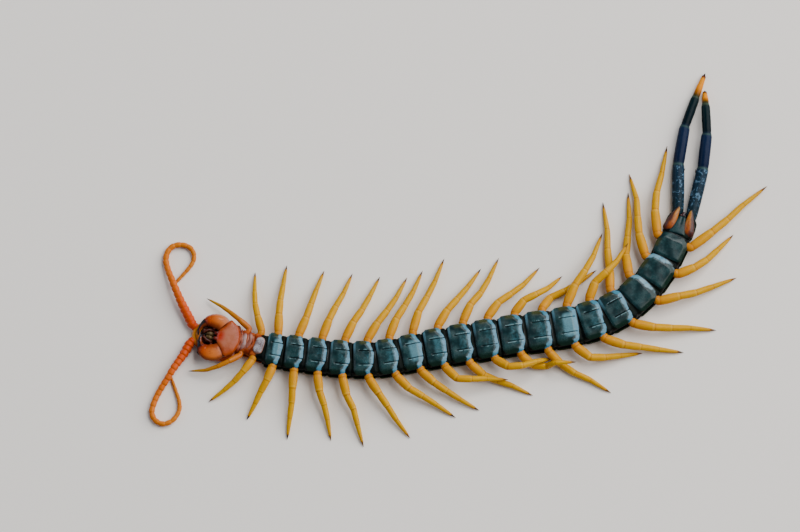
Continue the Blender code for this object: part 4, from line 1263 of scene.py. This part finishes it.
def hindFinish(name, joints):
    f = Finish(name, 420.0, 1500.0, Coat_Weight=0.03, Coat_Roughness=0.10, IOR=1.13)
    along, = f.values("along")
    a, b, c, _ = joints
    base = f.ramp(along, [
        (0.0, (0.004, 0.014, 0.020)), (a * 0.9, (0.005, 0.018, 0.036)), (a + 0.02, (0.003, 0.008, 0.028)),
        (b - 0.02, (0.005, 0.014, 0.042)), (b + 0.02, (0.001, 0.006, 0.010)),
        (c - 0.02, (0.002, 0.011, 0.014)), (c + 0.01, (0.040, 0.028, 0.005)),
        (c + (1 - c) * 0.20, (0.28, 0.080, 0.002)), (c + (1 - c) * 0.38, (0.62, 0.200, 0.001)),
        (0.955, (0.60, 0.215, 0.002)), (0.967, (0.10, 0.02, 0.01)), (0.978, (0.010, 0.006, 0.006)),
    ])
    # painted highlight: pale blue-white glints in streaks on the first part of the hindmost leg
    thighGlintMask = along.step(a + 0.01, a - 0.03) * f.streaks.step(0.53, 0.70)
    paintedThighGlints = f.mix(thighGlintMask * 0.85, base, (0.090, 0.180, 0.280))
    collar = f.rings(along, (a - 0.006, 0.016), (b - 0.006, 0.012), (c - 0.006, 0.012))
    return f.done(f.mix(collar * 0.50, paintedThighGlints, (0.040, 0.085, 0.065)), (0.18, 0.36), (0.5, 0.00012))


def feelerFinish():
    f = Finish("feelerShell", 600.0, 4200.0, IOR=1.24)
    along, bead = f.values("along", "bead")
    base = f.ramp(along, [
        (0.0, (0.46, 0.040, 0.002)), (0.16, (0.52, 0.062, 0.002)), (0.34, (0.54, 0.115, 0.002)),
        (0.60, (0.54, 0.155, 0.003)), (0.85, (0.50, 0.155, 0.004)), (1.0, (0.44, 0.14, 0.006)),
    ])
    gaps = bead.step(0.90, 1.0) * 0.38 | bead.step(0.10, 0.0) * 0.38
    dark = f.mix(gaps, base, (0.28, 0.022, 0.002))
    return f.done(f.mix(f.patches * 0.20, dark, (0.46, 0.060, 0.002)), (0.34, 0.50), (0.4, 0.00005))


def shieldFinish():
    f = Finish("shieldShell", 300.0, 2600.0, Coat_Weight=0.12, Coat_Roughness=0.12, IOR=1.28,
               Subsurface_Weight=0.08, Subsurface_Scale=0.0006)
    edge, forward, aside = f.values("edge", "forward", "aside")
    centre = f.mix(f.patches, (0.31, 0.080, 0.034), (0.38, 0.125, 0.070))
    rim = f.mix(f.patches, (0.26, 0.030, 0.002), (0.33, 0.055, 0.004))
    both = f.mix(edge.step(0.46, 0.90), centre, rim)
    spot = forward.step(4.2, 6.2) * abs(aside).step(2.1, 0.6)
    red = f.mix(spot * 0.90, both, (0.36, 0.016, 0.001))
    suture = forward.step(3.4, 4.2) * edge.step(0.925, 0.965)
    return f.done(f.mix(suture * 0.90, red, (0.045, 0.004, 0.002)), (0.24, 0.40), (0.25, 0.00006))


def clawFinish():
    f = Finish("clawShell", 330.0, 2600.0, Coat_Roughness=0.08, IOR=1.20)
    along, inner, hand = f.values("along", "inner", "hand")
    base = f.ramp(along, [
        (0.0, (0.03, 0.003, 0.002)), (0.055, (0.08, 0.008, 0.002)), (0.095, (0.40, 0.105, 0.030)),
        (0.24, (0.50, 0.125, 0.018)), (0.40, (0.40, 0.058, 0.002)), (0.49, (0.24, 0.024, 0.002)),
        (0.535, (0.10, 0.009, 0.003)), (0.565, (0.006, 0.004, 0.007)), (0.78, (0.002, 0.004, 0.009)),
        (1.0, (0.002, 0.003, 0.008)),
    ])
    shade = inner.step(-0.05, 0.75) * along.step(0.60, 0.48)
    dark = f.mix(shade * 0.80, base, (0.13, 0.013, 0.002))
    rust = f.streaks.step(0.52, 0.72) * along.step(0.58, 0.46)
    warm = f.mix(rust * 0.60, dark, (0.17, 0.016, 0.002))
    # painted highlight and shade on the claws' outer rim: pale lilac on the left claw, dark brown on the
    # right one
    pale = inner.step(-0.50, -0.92) * along.step(0.58, 0.46)
    rim = f.mix(hand.step(-0.5, 0.5), (0.060, 0.010, 0.004), (0.34, 0.18, 0.15))
    outer = f.mix(pale * 0.60, warm, rim)
    # painted highlight: sparse blue glints on the fang, where the coat is also thicker
    shine = f.streaks.step(0.50, 0.64) * along.step(0.56, 0.60)
    paintedFangGlint = f.mix(shine * 0.35, outer, (0.030, 0.070, 0.120))
    lining = inner.step(-0.10, 0.35) * (along.step(0.55, 0.58) * along.step(0.93, 0.84))
    lined = f.mix(lining * 0.85, paintedFangGlint, (0.17, 0.030, 0.006))
    tooth = f.mix(along.step(2.5, 2.9), lined, (0.06, 0.008, 0.006))
    return f.done(tooth, (0.16, 0.32), (0.25, 0.00006), shine * 0.5 + 0.12)


def headFinish():
    f = Finish("headShell", 330.0, 2600.0, Coat_Weight=0.1, Coat_Roughness=0.12, IOR=1.28)
    forward, edge = f.values("forward", "edge")
    skin = f.mix(f.patches, (0.24, 0.026, 0.003), (0.34, 0.052, 0.005))
    lip = f.mix(forward.step(13.2, 14.4), skin, (0.46, 0.150, 0.004))
    # painted shade: the sunken mouth field between the claws is near black
    mouth = edge.step(0.90, 0.80) * forward.step(7.0, 8.2)
    return f.done(f.mix(mouth, lip, (0.020, 0.006, 0.004)), (0.20, 0.36), (0.3, 0.00006))


def mouthFinish():
    f = Finish("mouthShell", 900.0, 3600.0, Coat_Weight=0.22, Coat_Roughness=0.05, IOR=1.18)
    along, = f.values("along")
    palp = f.mix(f.patches, (0.028, 0.004, 0.003), (0.085, 0.018, 0.008))
    lobe = f.mix(f.patches, (0.060, 0.034, 0.011), (0.135, 0.088, 0.034))
    dark = f.mix(f.patches, (0.020, 0.004, 0.003), (0.060, 0.010, 0.006))
    lip = f.mix(f.patches, (0.36, 0.085, 0.004), (0.44, 0.135, 0.008))
    first = f.mix(along.step(1.4, 1.6), palp, lobe)
    second = f.mix(along.step(3.4, 3.6), first, dark)
    return f.done(f.mix(along.step(5.4, 5.6), second, lip), (0.14, 0.34), (0.6, 0.00010))


def toothFinish():
    f = Finish("toothShell", 500.0, 2600.0, Coat_Weight=0.1, Coat_Roughness=0.12, IOR=1.3)
    along, = f.values("along")
    plate = f.mix(f.patches, (0.060, 0.005, 0.002), (0.130, 0.011, 0.003))
    return f.done(f.mix(along.step(1.5, 1.9), plate, (0.02, 0.005, 0.004)), (0.18, 0.32), (0.3, 0.00005))


def foldFinish():
    f = Finish("neckSkin", 520.0, 3000.0, IOR=1.2, Subsurface_Weight=0.15, Subsurface_Scale=0.0006)
    along, grey = f.values("along", "grey")
    pink = f.mix(f.patches, (0.24, 0.045, 0.014), (0.42, 0.150, 0.090))
    lilac = f.mix(f.patches, (0.20, 0.110, 0.095), (0.34, 0.230, 0.230))
    ends = abs(along - 0.5).step(0.26, 0.46)
    red = f.mix(ends * 0.90, f.mix(grey, pink, lilac), (0.17, 0.016, 0.002))
    return f.done(red, (0.26, 0.42), (0.45, 0.00008))


def lilacFinish():
    f = Finish("lilacShell", 520.0, 2200.0, IOR=1.25)
    edge, = f.values("edge")
    cloudy = f.mix(f.patches, (0.15, 0.115, 0.120), (0.36, 0.34, 0.38))
    lilac = f.mix(f.streaks.step(0.56, 0.66) * 0.75, cloudy, (0.060, 0.030, 0.034))
    pores = f.mix(f.pits.step(0.55, 0.85) * 0.45, lilac, (0.09, 0.050, 0.050))
    return f.done(f.mix(edge.step(0.84, 1.0), pores, (0.24, 0.110, 0.070)), (0.26, 0.42), (0.5, 0.00009))


def sidePlateFinish():
    f = Finish("sidePlateShell", 450.0, 1700.0, Coat_Weight=0.1, Coat_Roughness=0.16, IOR=1.3)
    along, aside = f.values("along", "aside")
    base = f.ramp(along, [
        (0.0, (0.15, 0.024, 0.006)), (0.28, (0.27, 0.062, 0.008)), (0.60, (0.36, 0.125, 0.012)),
        (0.85, (0.30, 0.140, 0.020)), (0.97, (0.10, 0.05, 0.01)),
    ])
    dark = f.mix((aside + f.patches * 0.3).step(0.05, 0.60) * 0.92, base, (0.022, 0.010, 0.014))
    pores = f.mix(f.pits.step(0.62, 0.85) * 0.45, dark, (0.09, 0.018, 0.010))
    return f.done(pores, (0.28, 0.44), (0.5, 0.00008))


def darkFinish(name, colour, second, rough):
    f = Finish(name, 700.0, 3000.0, Coat_Weight=0.4, Coat_Roughness=0.05, IOR=1.3)
    return f.done(f.mix(f.patches, colour, second), rough, (0.2, 0.00004))


# Making
print("finishes")
bellyShell, bodySkin, backShell = bellyFinish(), wallFinish(), backFinish()
legShell, firstLegShell, feelerShell = legFinish(), firstLegFinish(), feelerFinish()
shieldShell, clawShell, headShell = shieldFinish(), clawFinish(), headFinish()
mouthShell, toothShell, neckSkin = mouthFinish(), toothFinish(), foldFinish()
lilacShell, sidePlateShell = lilacFinish(), sidePlateFinish()
eyeLens = darkFinish("eyeLens", (0.004, 0.004, 0.006), (0.012, 0.010, 0.012), (0.05, 0.12))
tailDark = darkFinish("tailEndShell", (0.010, 0.008, 0.012), (0.055, 0.018, 0.022), (0.12, 0.26))

print("body")
for first, last in bodyLengths:
    node = "trunk_%02d_to_%02d" % (first, last)
    label = node.replace("trunk_", "")
    plates = [buildBellyPlate(number) for number in range(max(first, 3), last + 1)]
    addPiece("belly_plates_" + label, joinMeshes("belly", plates), bellyShell, "body_shell", node)
    addPiece("body_wall_" + label, buildWall(first, last), bodySkin, "body_shell", node)
    plates = [buildBackPlate(number) for number in range(first, last + 1)]
    addPiece("back_plates_" + label, joinMeshes("back", plates), backShell, "body_shell", node)
buildSecondPlate(lilacShell)
buildNeckFolds(neckSkin)

print("legs")
legTree = makeTubeTree("legAlongPath", legProfile)
for number in range(1, len(bodySegments) + 1):
    for side in (1, -1):
        buildLeg(number, side, legTree, firstLegShell if number == 1 else legShell)

print("head")
buildHeadShell(headShell)
buildMouth(mouthShell)
buildShield(shieldShell, toothShell)
feelerTree = makeTubeTree("feelerAlongPath", beadProfile, beads=True)
for side in (1, -1):
    buildClaw(side, clawShell)
    buildEye(side, eyeLens)
    buildFeeler(side, feelerTree, feelerShell)

print("tail")
buildTailWall(bodySkin)
buildTailBelly(bellyShell)
buildTailBack(backShell)
buildSidePlates(sidePlateShell)
buildTailEnd(tailDark)
for side in (1, -1):
    buildHindLeg(side)

# Stage
stage = {"floorSize": 16.0, "floorColour": (0.83, 0.79, 0.75, 1.0), "floorRoughness": 0.9,
         "floorLevel": -0.00002, "sky": (0.86, 0.93, 1.0, 1.0), "skyStrength": 0.22}
camera = {"aim": (-0.01909, -0.00359, 0.007), "elevation": 75.0, "turn": -0.36, "lens": 800.0,
          "sensor": 36.0, "across": 0.256}


def buildFloor():
    half = stage["floorSize"] / 2
    mesh = bpy.data.meshes.new("floor")
    corners = [(-half, -half, 0), (half, -half, 0), (half, half, 0), (-half, half, 0)]
    mesh.from_pydata(corners, [], [(0, 1, 2, 3)])
    floor = bpy.data.objects.new("floor", mesh)
    floor.location.z = stage["floorLevel"]
    bpy.context.scene.collection.objects.link(floor)
    paint = bpy.data.materials.new("floorPaint")
    paint.use_nodes = True
    shader = paint.node_tree.nodes["Principled BSDF"]
    shader.inputs["Base Color"].default_value = stage["floorColour"]
    shader.inputs["Roughness"].default_value = stage["floorRoughness"]
    mesh.materials.append(paint)


def addLamp(name, place, aim, size, power, colour=(1.0, 1.0, 1.0)):
    lamp = bpy.data.lights.new(name, "AREA")
    lamp.shape = "RECTANGLE"
    lamp.size, lamp.size_y = size
    lamp.energy = power
    lamp.color = colour
    holder = bpy.data.objects.new(name, lamp)
    bpy.context.scene.collection.objects.link(holder)
    holder.location = place
    holder.rotation_euler = (Vector(aim) - Vector(place)).to_track_quat("-Z", "Y").to_euler()


print("stage")
buildFloor()
addLamp("keyLamp", (1.30, 0.60, 1.35), (0.0, 0.0, 0.0), (2.2, 2.5), 86.0, (1.0, 0.985, 0.965))
addLamp("glintLamp", (0.35, 1.15, 1.55), (0.0, 0.0, 0.0), (0.35, 0.35), 5.0, (1.0, 0.97, 0.94))
addLamp("leftLamp", (-1.50, 0.60, 1.10), (0.0, 0.0, 0.0), (0.8, 0.8), 6.0, (0.75, 0.88, 1.0))

world = bpy.data.worlds.new("softSky")
world.use_nodes = True
sky = world.node_tree.nodes["Background"]
sky.inputs["Color"].default_value = stage["sky"]
sky.inputs["Strength"].default_value = stage["skyStrength"]
bpy.context.scene.world = world

lens = bpy.data.cameras.new("camera")
lens.lens = camera["lens"]
lens.sensor_width = camera["sensor"]
viewer = bpy.data.objects.new("camera", lens)
bpy.context.scene.collection.objects.link(viewer)
away = camera["across"] * camera["lens"] / camera["sensor"]
rise = math.radians(camera["elevation"])
turn = math.radians(camera["turn"])
back = Vector((math.sin(turn) * math.cos(rise), -math.cos(turn) * math.cos(rise), math.sin(rise)))
viewer.location = Vector(camera["aim"]) + back * away
viewer.rotation_euler = (math.radians(90.0 - camera["elevation"]), 0.0, turn)
lens.clip_start, lens.clip_end = 0.05, 50.0
bpy.context.scene.camera = viewer
